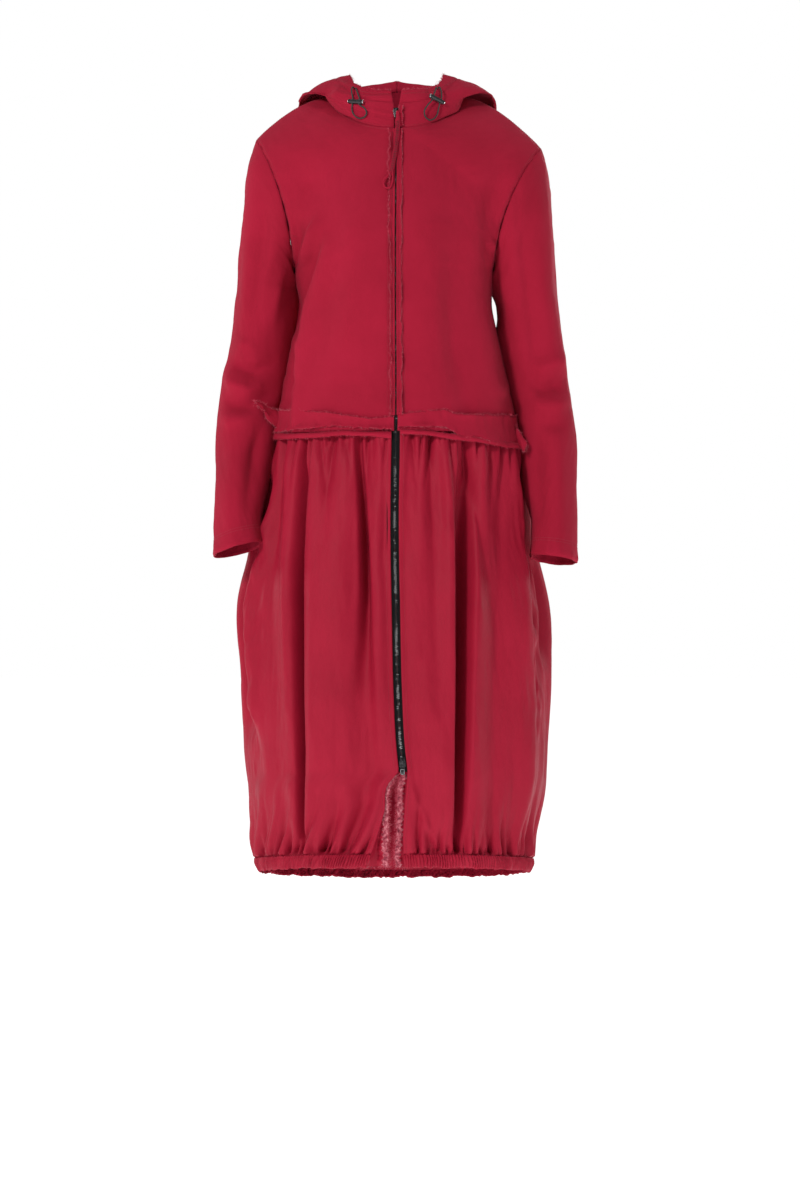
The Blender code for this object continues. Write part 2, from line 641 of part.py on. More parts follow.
# ---------------------------------------------------------------- cloth pieces
def patch(skin, rows, columns):
    """Part of a skin, or a strip between two of its columns when columns are fractions."""
    grid, normals = [], []
    for row in rows:
        line, facing = [], []
        for column in columns:
            first = min(int(max(column, 0)), skin.columns - 2)
            share = column - first
            a, b = skin.index[row, first], skin.index[row, first + 1]
            line.append(skin.points[a] * (1 - share) + skin.points[b] * share)
            facing.append(skin.normals[a] * (1 - share) + skin.normals[b] * share)
        grid.append(line)
        normals.append(facing)
    made = Skin(np.array(grid))
    made.normals = unit(np.array(normals)).reshape(-1, 3)
    return made


def join_rows(lower, upper):
    """One skin from two that follow each other upwards."""
    shape = (-1, lower.columns, 3)
    made = Skin(np.concatenate([lower.points.reshape(shape), upper.points.reshape(shape)]))
    made.normals = np.concatenate([lower.normals, upper.normals])
    return made


def bodice_skins(side):
    front = squared(Skin(bodice_grid(side, True)))
    back = Skin(bodice_grid(side, False), centred=True)
    sleeve = Skin(sleeve_grid(side), closed=True)
    under = len(BODICE_LEVELS)
    below = slice(0, under + 1)
    butt(front, front.index[below, -1], front.index[below, -2], back, back.index[below, 0], back.index[below, 1])
    butt(front, front.index[-1, :], front.index[-2, :], back, back.index[-1, ::-1], back.index[-2, ::-1])
    ahead = slice(0, ARM_STEPS)
    butt(front, front.index[:under:-1, -1], front.index[:under:-1, -2],
         sleeve, sleeve.index[0, ahead], sleeve.index[1, ahead])
    around = np.arange(ARM_STEPS, 2 * ARM_STEPS + 1) % (2 * ARM_STEPS)
    butt(back, back.index[under:, 0], back.index[under:, 1],
         sleeve, sleeve.index[0, around], sleeve.index[1, around])
    front.normals[front.index[-1, -1]] = sleeve.normals[sleeve.index[0, 0]]
    return front, back, sleeve


def skirt_skins(side):
    front = squared(Skin(skirt_grid(side, SKIRT_FRONT_STEPS, SKIRT_LEVELS)))
    back = Skin(skirt_grid(side, SKIRT_BACK_STEPS, SKIRT_LEVELS), centred=True)
    butt(front, front.index[:, -1], front.index[:, -2], back, back.index[:, 0], back.index[:, 1])
    return front, back


def casing_skins(side):
    top = HEM_Z + CASING_HEIGHT - 2 * GAP
    levels = (top, (top + HEM_Z) / 2, HEM_Z)
    front = squared(Skin(skirt_grid(side, SKIRT_FRONT_STEPS, levels)))
    back = Skin(skirt_grid(side, SKIRT_BACK_STEPS, levels), centred=True)
    butt(front, front.index[:, -1], front.index[:, -2], back, back.index[:, 0], back.index[:, 1])
    return front, back


def both(skins):
    return [(skins[side], side) for side in (RIGHT, LEFT)]


def make_bands(fronts, backs, skirts, skirt_backs, look):
    """Raw-edged strips round the dropped waist: an upper one on the jersey, a lower one on the skirt's top."""
    upper_rows = range(BAND_ROWS)
    lower_rows = range(len(SKIRT_LEVELS) - 2, len(SKIRT_LEVELS))
    lift = GAP + BAND
    for name, skins_front, skins_back, rows in (("upper", fronts, backs, upper_rows),
                                                ("lower", skirts, skirt_backs, lower_rows)):
        strips = {}
        for side in (RIGHT, LEFT):
            front, back = skins_front[side], skins_back[side]
            strip = patch(front, rows, range(front.columns))
            wall("waist_band_%s_%s" % (name, side), [(strip, side)], BAND, look, lift)
            strips[side] = patch(back, rows, range(back.columns))
        wall("waist_band_%s_back" % name, both(strips), BAND, look, lift)


def make_placket(front, look):
    """The raw strip beside the zip, lying on the right front from the waist band to the neck."""
    rows = range(BAND_ROWS - 1, len(BODICE_LEVELS) + PIT_STEP + 1)
    strip = patch(front, rows, (0.0, PLACKET_SHARE))
    strip.points[strip.index[0], 2] += 2 * GAP
    wall("placket_strip", [(strip, RIGHT)], BAND, look, GAP + BAND)


def zip_strip(side, front, skirt, hood):
    """The front from the zip's lower end to its top, as a strip two points wide beside the chain."""
    end = SKIRT_LEVELS[::-1].index(ZIP_END_Z)
    on_skirt = patch(skirt, range(end, len(SKIRT_LEVELS) - 1), (0.0, TAPE_SHARE_SKIRT))
    on_bodice = patch(front, range(len(BODICE_LEVELS) + PIT_STEP + 1), (0.0, 1.0))
    on_hood = patch(hood, HOOD_ZIP_ROWS, (0.0, TAPE_SHARE_HOOD))
    strip = squared(join_rows(join_rows(on_skirt, on_bodice), on_hood))
    inner = strip.index[:, 0]
    collar = strip.index[-len(HOOD_ZIP_ROWS) - 1:]
    strip.points[collar] -= strip.normals[collar] * COLLAR_SET_BACK
    strip.points[inner, 0] = zip_x(side, strip.points[inner, 2]) + CHAIN_WIDTH / 2 + GAP
    return strip


def make_zip(strips, tape_look, chain_look):
    depth = JERSEY + GAP
    for side in (RIGHT, LEFT):
        wall("zip_tape_" + side, [(strips[side], side)], TAPE, tape_look, -depth)
    strip = strips[LEFT]
    inner = strip.index[:, 0]
    ups = unit(strip.normals[inner] * (0, 1, 1))
    centres = strip.points[inner] - ups * (depth + TAPE / 2)
    centres[:, 0] = zip_x(LEFT, centres[:, 2])
    half, rise = CHAIN_WIDTH / 2, CHAIN_DEPTH / 2
    section = ((-half, -rise), (half, -rise), (half, rise), (-half, rise))
    sides = np.tile([1.0, 0.0, 0.0], (len(centres), 1))
    sweep("zip_chain", centres, section, sides, ups, chain_look)
    return centres, ups


def box(name, low, high, look=None):
    """A block between two corners."""
    corners = [(x, y, z) for x in (low[0], high[0]) for y in (low[1], high[1]) for z in (low[2], high[2])]
    faces = ((0, 1, 3, 2), (4, 5, 7, 6), (0, 1, 5, 4), (2, 3, 7, 6), (0, 2, 6, 4), (1, 3, 7, 5))
    return add_object(name, corners, faces, look)


def cut(target, tool, operation):
    """Boolean with a tool object that isn't part of the dress."""
    tool.hide_render = True
    tool.display_type = "WIRE"
    modifier = target.modifiers.new(tool.name, "BOOLEAN")
    modifier.operation = operation
    modifier.object = tool
    modifier.solver = "EXACT"


def frame(origin, up, out):
    """A matrix whose Z runs up the front and whose -Y stands out from it."""
    up = Vector(up).normalized()
    out = Vector(out).normalized()
    side = up.cross(out).normalized()
    matrix = Matrix((side, -out, up)).transposed().to_4x4()
    matrix.translation = Vector(origin)
    return matrix


def make_slider(name, matrix, neck_depth, look):
    """Slider plate with a bridge over it and a neck back to the chain; the plate's back lies at its own y = 0."""
    half_width, half_height = SLIDER_WIDTH / 2, SLIDER_HEIGHT / 2
    plate = box(name, (-half_width, -SLIDER_DEPTH, -half_height), (half_width, 0, half_height), look)
    bevel = plate.modifiers.new("round", "BEVEL")
    bevel.width = SLIDER_DEPTH / 3
    bevel.segments = 2
    top = -SLIDER_DEPTH - BRIDGE_CLEAR
    reach = BRIDGE_HALF_HEIGHT
    outline = ((top - BRIDGE_BAR, -reach), (top - BRIDGE_BAR, reach), (-SLIDER_DEPTH / 2, reach),
               (-SLIDER_DEPTH / 2, reach - BRIDGE_BAR), (top, reach - BRIDGE_BAR), (top, BRIDGE_BAR - reach),
               (-SLIDER_DEPTH - GAP, BRIDGE_BAR - reach), (-SLIDER_DEPTH - GAP, -reach))
    half = BRIDGE_WIDTH / 2
    rings = [[(x, y, z) for y, z in outline] for x in (-half, half)]
    count = len(outline)
    faces = [list(range(count)), list(range(count, 2 * count))]
    faces += [[n, (n + 1) % count, (n + 1) % count + count, n + count] for n in range(count)]
    bridge = add_object(name + "_bridge_tool", rings[0] + rings[1], faces, look)
    neck_half = SLIDER_NECK_WIDTH / 2
    neck = box(name + "_neck_tool", (-neck_half, -SLIDER_DEPTH / 2, -half_height / 2),
               (neck_half, neck_depth, half_height / 2), look)
    for tool in (bridge, neck):
        cut(plate, tool, "UNION")
        tool.matrix_world = matrix
    plate.matrix_world = matrix
    return plate


def make_tab(name, pivot, look):
    """The pull tab, hanging from the slider's bridge, its origin on the axis it swings about."""
    half, depth = TAB_WIDTH / 2, TAB_DEPTH / 2
    tab = box(name, (-half, -depth, depth - TAB_LENGTH), (half, depth, depth), look)
    inner = half - TAB_ARM
    window = box(name + "_window_tool", (-inner, -TAB_WIDTH, -depth - TAB_WINDOW), (inner, TAB_WIDTH, -depth))
    cut(tab, window, "DIFFERENCE")
    tab.location = pivot
    window.location = pivot


def make_sliders(centres, ups, chain_look):
    """The top slider on the collar and the bottom one just above the slit, each in front of the chain."""
    order = np.argsort(centres[:, 2])
    levels = centres[order, 2]
    top_z = ZIP_TOP_Z - SLIDER_HEIGHT / 2
    places = {}
    for name, z, facing in (("top", top_z, None), ("bottom", SLIDER_Z, Vector((0, -1, 0)))):
        out = np.array([np.interp(z, levels, ups[order, axis]) for axis in range(3)])
        centre = np.array([np.interp(z, levels, centres[order, axis]) for axis in range(3)])
        out = Vector(out).normalized() if facing is None else facing
        stand = TOP_SLIDER_STAND if facing is None else CHAIN_DEPTH / 2 + 2 * GAP
        origin = Vector(centre) + out * stand
        up = out.cross(Vector((1, 0, 0)))
        up = up if up.z > 0 else -up
        make_slider("slider_" + name, frame(origin, up, out), stand - CHAIN_DEPTH / 2 - GAP, chain_look)
        places[name] = origin
    rest = BRIDGE_HALF_HEIGHT - BRIDGE_BAR - GAP - TAB_DEPTH / 2
    pivot = places["bottom"] + Vector((0, -SLIDER_DEPTH - BRIDGE_CLEAR / 2, -rest))
    make_tab("pull_tab", pivot, chain_look)


def front_y(z):
    """The centre front's place above the underarm."""
    return smooth(CENTRE_LINES, "front_y", z, "front_z")


def make_pull(look):
    """The doubled jersey strip through the top slider, hanging down beside the zip."""
    z = np.array([row.z for row in PULL_ROUTE])
    x = np.array([row.x for row in PULL_ROUTE])
    centres = np.stack([x, front_y(z) - PULL_STANDOFF, z], axis=-1)
    along = unit(np.gradient(centres, axis=0))
    sides = unit(np.cross(along, (0.0, -1.0, 0.0)))
    ups = unit(np.cross(sides, along))
    half, depth = PULL_WIDTH / 2, PULL_DEPTH / 2
    section = ((-half, -depth), (half, -depth), (half, depth), (-half, depth))
    sweep("zip_pull_loop", centres, section, sides, ups, look)


def resample(points, step):
    """Points at an even step along a smooth curve through a route's own points."""
    fine = spline(points, np.linspace(0, 1, FINE_STEPS))
    length = np.concatenate([[0], np.cumsum(np.linalg.norm(np.diff(fine, axis=0), axis=1))])
    at = np.linspace(0, length[-1], int(round(length[-1] / step)) + 1)
    return np.stack([np.interp(at, length, fine[:, axis]) for axis in range(3)], axis=-1)


def make_drawcord(side, look):
    mirror = np.array([SIGN[side], 1, 1])
    points = resample(np.array(CORD_ROUTES[side]) * mirror, CORD_STEP)
    curve = bpy.data.curves.new("drawcord_" + side, "CURVE")
    curve.dimensions = "3D"
    curve.bevel_depth = CORD_DIAMETER / 2
    curve.bevel_resolution = 2
    curve.use_fill_caps = True
    line = curve.splines.new("POLY")
    line.points.add(len(points) - 1)
    for place, point in zip(line.points, points):
        place.co = (*point, 1.0)
    curve.materials.append(look)
    made = bpy.data.objects.new("drawcord_" + side, curve)
    bpy.context.scene.collection.objects.link(made)


def make_lock(side, look):
    """A barrel cord lock with a hole for each run of the loop."""
    row = LOCKS[side]
    axis = Vector((row.axis_x * SIGN[side], row.axis_y, row.axis_z)).normalized()
    centre = Vector((row.x * SIGN[side], row.y, row.z))
    half, size = LOCK_LENGTH / 2, LOCK_SIZE / 2
    name = "cord_lock_" + side
    body = box(name, (-half, -size, -size), (half, size, size), look)
    up = (Vector((0, 0, 1)) - axis * axis.z).normalized()
    matrix = Matrix((axis, up.cross(axis), up)).transposed().to_4x4()
    matrix.translation = centre
    bevel = body.modifiers.new("round", "BEVEL")
    bevel.width = LOCK_SIZE / 4
    bevel.segments = 2
    body.matrix_world = matrix
    for number, along in enumerate((-row.hole, row.hole)):
        shape = bmesh.new()
        bmesh.ops.create_cone(shape, cap_ends=True, segments=12, radius1=LOCK_HOLE_RADIUS,
                              radius2=LOCK_HOLE_RADIUS, depth=2 * LOCK_SIZE)
        mesh = bpy.data.meshes.new("%s_hole_%d" % (name, number))
        shape.to_mesh(mesh)
        shape.free()
        drill = bpy.data.objects.new(mesh.name, mesh)
        bpy.context.scene.collection.objects.link(drill)
        drill.matrix_world = matrix @ Matrix.Translation((along, 0, 0))
        cut(body, drill, "DIFFERENCE")


def make_facings(skirts, casings, look):
    """Frayed strips inside the slit, hanging behind the fronts' free edges down to the hem."""
    end = SKIRT_LEVELS[::-1].index(ZIP_END_Z)
    for side in (RIGHT, LEFT):
        upper = patch(skirts[side], range(end), (0.0, 1.0))
        lower = patch(casings[side], (0, 2), (0.0, 1.0))
        strip = join_rows(lower, upper)
        edge, inner = strip.index[:, 0], strip.index[:, 1]
        free = smooth(SLIT, "facing_" + side, strip.points[edge, 2])
        share = (free - strip.points[edge, 0]) / (strip.points[inner, 0] - strip.points[edge, 0])
        strip.points[edge] += (strip.points[inner] - strip.points[edge]) * share[:, None]
        wall("slit_facing_" + side, [(strip, side)], WOVEN, look, -(CASING + GAP))


def build():
    for old in list(bpy.data.objects):
        bpy.data.objects.remove(old, do_unlink=True)
    jersey = material("jersey", DRESS_RED, 0.85)
    woven = material("light woven cloth", DRESS_RED, 0.55)
    tape = material("zip tape", BLACK, 0.80)
    metal = material("black metal", BLACK, 0.30, 0.9)
    plastic = material("black plastic", BLACK, 0.35)
    elastic = material("elastic cord", BLACK, 0.70)
    fronts, backs, skirts, skirt_backs, casings, casing_backs, hoods = ({} for _ in range(7))
    for side in (RIGHT, LEFT):
        fronts[side], backs[side], sleeve = bodice_skins(side)
        skirts[side], skirt_backs[side] = skirt_skins(side)
        casings[side], casing_backs[side] = casing_skins(side)
        hoods[side] = squared(Skin(hood_grid(side), centred=True))
        inset(hoods[side], hoods[side].index[:, -1], hoods[side].index[:, -2])
        wall("bodice_front_" + side, [(fronts[side], side)], JERSEY, jersey)
        wall("sleeve_" + side, [(sleeve, side)], JERSEY, jersey)
        wall("hood_" + side, [(hoods[side], side)], JERSEY, jersey)
        wall("skirt_front_" + side, [(skirts[side], side)], WOVEN, woven)
        wall("hem_casing_" + side, [(casings[side], side)], CASING, woven)
        make_drawcord(side, elastic)
        make_lock(side, plastic)
    wall("bodice_back", both(backs), JERSEY, jersey)
    wall("skirt_back", both(skirt_backs), WOVEN, woven)
    wall("hem_casing_back", both(casing_backs), CASING, woven)
    make_bands(fronts, backs, skirts, skirt_backs, jersey)
    make_placket(fronts[RIGHT], jersey)
    make_facings(skirts, casings, woven)
    strips = {side: zip_strip(side, fronts[side], skirts[side], hoods[side]) for side in (RIGHT, LEFT)}
    centres, ups = make_zip(strips, tape, metal)
    make_sliders(centres, ups, metal)
    make_pull(jersey)


build()
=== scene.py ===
"""Looks of the jacket dress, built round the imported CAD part.

Metres, +Z up, front towards -Y, as in the part. Every cloth panel is the part's own surface at a finer step,
with its folds, gathers, seams and raw edges added, and stands for its CAD node. Folds on the front are
placed in photograph coordinates (PX metres to a unit, x to the right and y down), those of the back in the
same units."""

import math
from collections import namedtuple

import bmesh
import bpy
import numpy as np
from mathutils import Matrix, Vector


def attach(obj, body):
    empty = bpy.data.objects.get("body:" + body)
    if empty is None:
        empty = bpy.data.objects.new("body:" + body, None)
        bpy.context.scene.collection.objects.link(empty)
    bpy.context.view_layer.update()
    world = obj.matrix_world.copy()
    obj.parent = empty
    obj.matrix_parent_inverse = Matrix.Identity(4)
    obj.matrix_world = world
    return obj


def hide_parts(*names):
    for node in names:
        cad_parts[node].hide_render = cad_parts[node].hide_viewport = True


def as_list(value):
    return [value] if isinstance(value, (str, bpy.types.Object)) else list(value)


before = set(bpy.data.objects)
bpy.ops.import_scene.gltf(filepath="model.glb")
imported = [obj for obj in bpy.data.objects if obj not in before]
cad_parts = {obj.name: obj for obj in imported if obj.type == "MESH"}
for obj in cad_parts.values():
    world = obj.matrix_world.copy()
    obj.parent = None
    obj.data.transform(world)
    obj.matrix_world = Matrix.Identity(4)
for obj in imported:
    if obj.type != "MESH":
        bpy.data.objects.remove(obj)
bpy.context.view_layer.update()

# ---- camera and photograph coordinates ----
PX = 0.0014
CAMERA = (0.0042, -4.8, -0.700)
CENTRE_PX = (400.0, 600.0)
LENS = 36.0 * 4.8 / 1.68
FLOOR_Z = -1.491

# ---- cloth and hardware sizes, as in the part ----
JERSEY = 0.0016
WOVEN = 0.0011
BAND = 0.0014
CASING_CLOTH = 0.0026
TAPE_CLOTH = 0.0007
GAP = 0.0003
NECK_Y = 0.006
NECK_HALF = 0.090
NECK_FRONT = 0.094
NECK_BACK = 0.062
NECK_PIT_Z = -0.050
NECK_SIDE_Z = 0.006
NECK_NAPE_Z = 0.024
UNDERARM_Z = -0.240
WAIST_Z = -0.470
SIDE_SEAM_Y = 0.004
ZIP_TOP_Z = -0.024
ZIP_END_Z = -0.932
HEM_Z = -1.063
CASING_HEIGHT = 0.019
HEM_DROP_BACK = 0.038
HEM_DROP_START_Z = -0.560
BODICE_HALF_GAP = 0.0024
SKIRT_HALF_GAP = 0.0058

RIGHT = "right"
LEFT = "left"
SIGN = {RIGHT: -1.0, LEFT: 1.0}
TINY = 1e-9

Ring = namedtuple("Ring", "z right left front back")
BODICE = (
    Ring(-0.476, 0.1730, 0.1740, 0.140, 0.130),
    Ring(-0.410, 0.1630, 0.1600, 0.137, 0.118),
    Ring(-0.350, 0.1540, 0.1440, 0.134, 0.108),
    Ring(-0.290, 0.1410, 0.1315, 0.136, 0.106),
    Ring(-0.240, 0.1450, 0.1360, 0.131, 0.107),
)
SKIRT = (
    Ring(-1.110, 0.1850, 0.1840, 0.149, 0.149),
    Ring(-1.066, 0.1930, 0.1890, 0.153, 0.155),
    Ring(-1.045, 0.2030, 0.1970, 0.160, 0.163),
    Ring(-1.000, 0.2090, 0.2040, 0.166, 0.170),
    Ring(-0.900, 0.2130, 0.2100, 0.170, 0.177),
    Ring(-0.800, 0.2160, 0.2130, 0.168, 0.178),
    Ring(-0.700, 0.2180, 0.2120, 0.163, 0.172),
    Ring(-0.620, 0.2000, 0.1950, 0.157, 0.162),
    Ring(-0.540, 0.1900, 0.1870, 0.150, 0.148),
    Ring(-0.470, 0.1722, 0.1730, 0.140, 0.1295),
)
QUARTER_FULLNESS = 0.60
SKIRT_SIDE_Y = 0.016
SKIRT_SIDE_SETTLED_Z = -0.600
# The skirt's sides fall in towards the elastic hem.
DRAWN_IN = {RIGHT: 0.0025, LEFT: 0.0065}
DRAWN_IN_Z = -1.008
DRAWN_IN_REACH = 0.042

Centre = namedtuple("Centre", "z zip_x")
ZIP_LINE = (
    Centre(-1.110, 0.0090),
    Centre(-0.932, 0.0086),
    Centre(-0.900, 0.0052),
    Centre(-0.820, 0.0010),
    Centre(-0.720, -0.0012),
    Centre(-0.590, -0.0032),
    Centre(-0.475, -0.0016),
    Centre(-0.250, -0.0020),
    Centre(0.030, -0.0005),
)
Slit = namedtuple("Slit", "z right left facing_right facing_left")
SLIT = (
    Slit(-1.110, 0.0560, 0.0115, 0.0125, -0.0050),
    Slit(-1.063, 0.0420, 0.0109, 0.0120, -0.0034),
    Slit(-1.020, 0.0270, 0.0085, 0.0116, -0.0012),
    Slit(-0.984, 0.0165, 0.0105, 0.0110, 0.0004),
    Slit(-0.948, 0.0112, 0.0135, 0.0060, 0.0020),
    Slit(-0.932, -0.0028, 0.0144, -0.0060, 0.0090),
)
Height = namedtuple("Height", "step front_y front_z back_y back_z")
CENTRE_LINES = (
    Height(0, -0.131, -0.240, 0.107, -0.240),
    Height(1, -0.125, -0.195, 0.109, -0.180),
    Height(2, -0.114, -0.145, 0.104, -0.115),
    Height(3, -0.101, -0.095, 0.090, -0.045),
    Height(4, -0.088, -0.050, 0.068, 0.024),
)
PIT_STEP = 4
ARM_STEPS = 8
Armhole = namedtuple("Armhole", "tip_x tip_z under_x under_z")
ARMHOLES = {
    RIGHT: Armhole(0.1970, -0.0560, 0.1450, -0.240),
    LEFT: Armhole(0.2020, -0.0680, 0.1360, -0.240),
}
ARMHOLE_DEPTH = {True: -0.070, False: 0.076}
ARMHOLE_HOLLOW = {True: 1.9, False: 1.5}
Handle = namedtuple("Handle", "step in_x in_y in_z out_x out_y out_z")
HANDLES = {
    True: (
        Handle(0, 0.084, 0.000, 0.000, 0.000, -0.081, 0.000),
        Handle(2, 0.070, -0.006, -0.018, -0.014, -0.052, 0.006),
        Handle(4, 0.055, -0.009, -0.030, -0.040, -0.026, 0.014),
        Handle(6, 0.040, -0.006, -0.012, -0.043, -0.014, 0.024),
        Handle(8, 0.035, 0.000, 0.000, -0.030, 0.000, 0.034),
    ),
    False: (
        Handle(0, 0.084, 0.000, 0.000, 0.000, 0.066, 0.000),
        Handle(2, 0.072, 0.004, -0.016, -0.012, 0.040, 0.006),
        Handle(4, 0.058, 0.012, -0.030, -0.036, 0.022, 0.012),
        Handle(6, 0.044, 0.010, -0.010, -0.042, 0.014, 0.024),
        Handle(8, 0.035, 0.000, 0.000, -0.030, 0.000, 0.034),
    ),
}
Sleeve = namedtuple("Sleeve", "z outer inner mid_y half_y")
SLEEVES = {
    RIGHT: (
        Sleeve(-0.268, 0.2220, 0.1580, 0.004, 0.060),
        Sleeve(-0.330, 0.2310, 0.1670, 0.007, 0.057),
        Sleeve(-0.400, 0.2460, 0.1800, 0.004, 0.054),
        Sleeve(-0.470, 0.2520, 0.1880, -0.012, 0.050),
        Sleeve(-0.550, 0.2530, 0.1885, -0.034, 0.047),
        Sleeve(-0.631, 0.2540, 0.1840, -0.056, 0.046),
    ),
    LEFT: (
        Sleeve(-0.272, 0.2225, 0.1420, 0.004, 0.061),
        Sleeve(-0.330, 0.2300, 0.1450, 0.008, 0.058),
        Sleeve(-0.400, 0.2410, 0.1620, 0.005, 0.054),
        Sleeve(-0.470, 0.2500, 0.1810, -0.012, 0.050),
        Sleeve(-0.560, 0.2500, 0.1850, -0.036, 0.047),
        Sleeve(-0.645, 0.2480, 0.1840, -0.058, 0.046),
    ),
}
CUFF_TILT_X = {RIGHT: -0.27, LEFT: -0.13}
CUFF_TILT_Y = -0.12
SLEEVE_TOP_PULL = (0.019, -0.006, -0.042)
SLEEVE_UNDER_PULL = (0.004, 0.000, -0.006)
SLEEVE_RISE_TOP = 0.072
SLEEVE_RISE_UNDER = 0.008
SLEEVE_RISE_LEAN = (-0.08, 0.0, 1.0)
Rib = namedtuple("Rib", "angle stand_r stand_z inner_r inner_z fold_r fold_z outer_r outer_z edge_r edge_z")
HOOD = (
    Rib(0, 0.0925, -0.042, 0.0910, -0.033, 0.0885, -0.021, 0.0850, -0.009, 0.0800, 0.003),
    Rib(30, 0.0940, -0.037, 0.0935, -0.028, 0.0910, -0.015, 0.0850, -0.004, 0.0750, 0.007),
    Rib(60, 0.0965, -0.021, 0.1000, -0.012, 0.1010, -0.002, 0.0910, 0.011, 0.0680, 0.022),
    Rib(90, 0.0990, 0.0115, 0.1160, 0.0115, 0.1330, 0.0070, 0.1040, 0.024, 0.0660, 0.035),
    Rib(120, 0.1010, 0.019, 0.1270, 0.002, 0.1500, -0.040, 0.1360, 0.010, 0.0860, 0.034),
    Rib(150, 0.0870, 0.029, 0.1120, -0.022, 0.1440, -0.120, 0.1520, -0.028, 0.1060, 0.022),
    Rib(180, 0.0760, 0.033, 0.1010, -0.035, 0.1270, -0.165, 0.1480, -0.060, 0.1160, 0.014),
)
HOOD_LIFT = 0.0010
# The hood's lower edge goes down inside the neck seam.
NECK_SEAM_TUCK = (0.0, 0.0, -0.0040)
HOOD_NOTCH_LEAN = 0.0050


# ---------------------------------------------------------------- curves
def smooth(rows, field, at, key="z"):
    """A column of a table at the given stations, on a smooth curve through its rows."""
    known = np.array([[getattr(row, key), getattr(row, field)] for row in rows])
    known = known[np.argsort(known[:, 0])]
    return hermite(known[:, 0], known[:, 1], at)


def hermite(x, y, at):
    slope = np.gradient(y, x)
    at = np.clip(np.asarray(at, float), x[0], x[-1])
    left = np.clip(np.searchsorted(x, at, side="right") - 1, 0, len(x) - 2)
    step = x[left + 1] - x[left]
    t = (at - x[left]) / step
    return ((1 + 2 * t) * (1 - t) ** 2 * y[left] + t * (1 - t) ** 2 * step * slope[left]
            + t * t * (3 - 2 * t) * y[left + 1] + t * t * (t - 1) * step * slope[left + 1])


def ease(start, end, at):
    """0 at the start, 1 at the end, level at both."""
    t = np.clip((np.asarray(at, float) - start) / (end - start), 0.0, 1.0)
    return t * t * (3 - 2 * t)


def unit(vectors):
    return vectors / np.maximum(np.linalg.norm(vectors, axis=-1, keepdims=True), TINY)


def bezier(start, start_handle, end_handle, end, t):
    s = 1 - t
    return s ** 3 * start + 3 * s * s * t * start_handle + 3 * s * t * t * end_handle + t ** 3 * end


def spline(points, steps):
    """A smooth curve through a few points, read at steps from 0 to 1."""
    points = np.asarray(points, float)
    at = np.linspace(0, 1, len(points))
    return np.stack([hermite(at, points[:, axis], steps) for axis in range(points.shape[1])], axis=-1)


def resample(points, step, fine_steps=400):
    """Points at an even step along a smooth curve through a route's own points."""
    fine = spline(points, np.linspace(0, 1, fine_steps))
    length = np.concatenate([[0], np.cumsum(np.linalg.norm(np.diff(fine, axis=0), axis=1))])
    at = np.linspace(0, length[-1], max(2, int(round(length[-1] / step)) + 1))
    return np.stack([np.interp(at, length, fine[:, axis]) for axis in range(fine.shape[1])], axis=-1)


# ---------------------------------------------------------------- the garment's surfaces (+X side)
def zip_x(side, z):
    return SIGN[side] * smooth(ZIP_LINE, "zip_x", z)


def bodice_edge(side, z):
    return zip_x(side, z) + BODICE_HALF_GAP


def skirt_edge(side, z):
    zipped = zip_x(side, z) + SKIRT_HALF_GAP
    return np.where(np.asarray(z) < ZIP_END_Z, smooth(SLIT, side, z), zipped)


def quarter(edge_x, front_y, half, side_y, steps):
    start = np.array([edge_x, front_y, 0.0])
    end = np.array([half, side_y, 0.0])
    reach = QUARTER_FULLNESS * (half - edge_x)
    turn = QUARTER_FULLNESS * (side_y - front_y)
    return bezier(start, start + (reach, 0, 0), end - (0, turn, 0), end, np.asarray(steps, float)[:, None])


def bodice_ring(side, z, steps, front):
    half = smooth(BODICE, side, z)
    centre_y = -smooth(BODICE, "front", z) if front else smooth(BODICE, "back", z)
    row = quarter(bodice_edge(side, z) if front else 0.0, centre_y, half, SIDE_SEAM_Y, steps)
    row[:, 2] = z
    return row


def neckline(side, angle):
    """The neck seam, at an angle from the front (0) round to the nape (pi)."""
    ahead = angle < math.pi / 2
    turn = math.sin(angle)
    x = NECK_HALF * turn + (bodice_edge(side, NECK_PIT_Z) * (1 - turn) if ahead else 0.0)
    y = NECK_Y - (NECK_FRONT if ahead else NECK_BACK) * math.cos(angle)
    if ahead:
        z = NECK_PIT_Z + (NECK_SIDE_Z - NECK_PIT_Z) * (1 - math.cos(angle))
    else:
        z = NECK_SIDE_Z + (NECK_NAPE_Z - NECK_SIDE_Z) * (1 - turn)
    return np.array([x, y, z])


def armhole(side, step, front):
    """The armhole seam, from under the arm (step 0) up to the shoulder tip (step 8)."""
    loop = ARMHOLES[side]
    angle = math.pi * (1 - step / ARM_STEPS)
    rise = (1 + math.cos(angle)) / 2
    return np.array([loop.under_x + (loop.tip_x - loop.under_x) * rise ** ARMHOLE_HOLLOW[front],
                     SIDE_SEAM_Y + ARMHOLE_DEPTH[front] * math.sin(angle),
                     loop.under_z + (loop.tip_z - loop.under_z) * rise])


def yoke_row(side, step, steps, front):
    """A row of the bodice above the underarm, from the centre line or the neck to the armhole."""
    if step <= PIT_STEP:
        name = "front" if front else "back"
        z = float(smooth(CENTRE_LINES, name + "_z", step, "step"))
        x = bodice_edge(side, z) if front else 0.0
        start = np.array([x, float(smooth(CENTRE_LINES, name + "_y", step, "step")), z])
    else:
        turn = math.pi / 2 * (step - PIT_STEP) / (ARM_STEPS - PIT_STEP)
        start = neckline(side, turn if front else math.pi - turn)
    end = armhole(side, step, front)
    inner, outer = ([float(smooth(HANDLES[front], way + "_" + axis, step, "step")) for axis in "xyz"]
                    for way in ("in", "out"))
    return bezier(start, start + inner, end + outer, end, np.asarray(steps, float)[:, None])


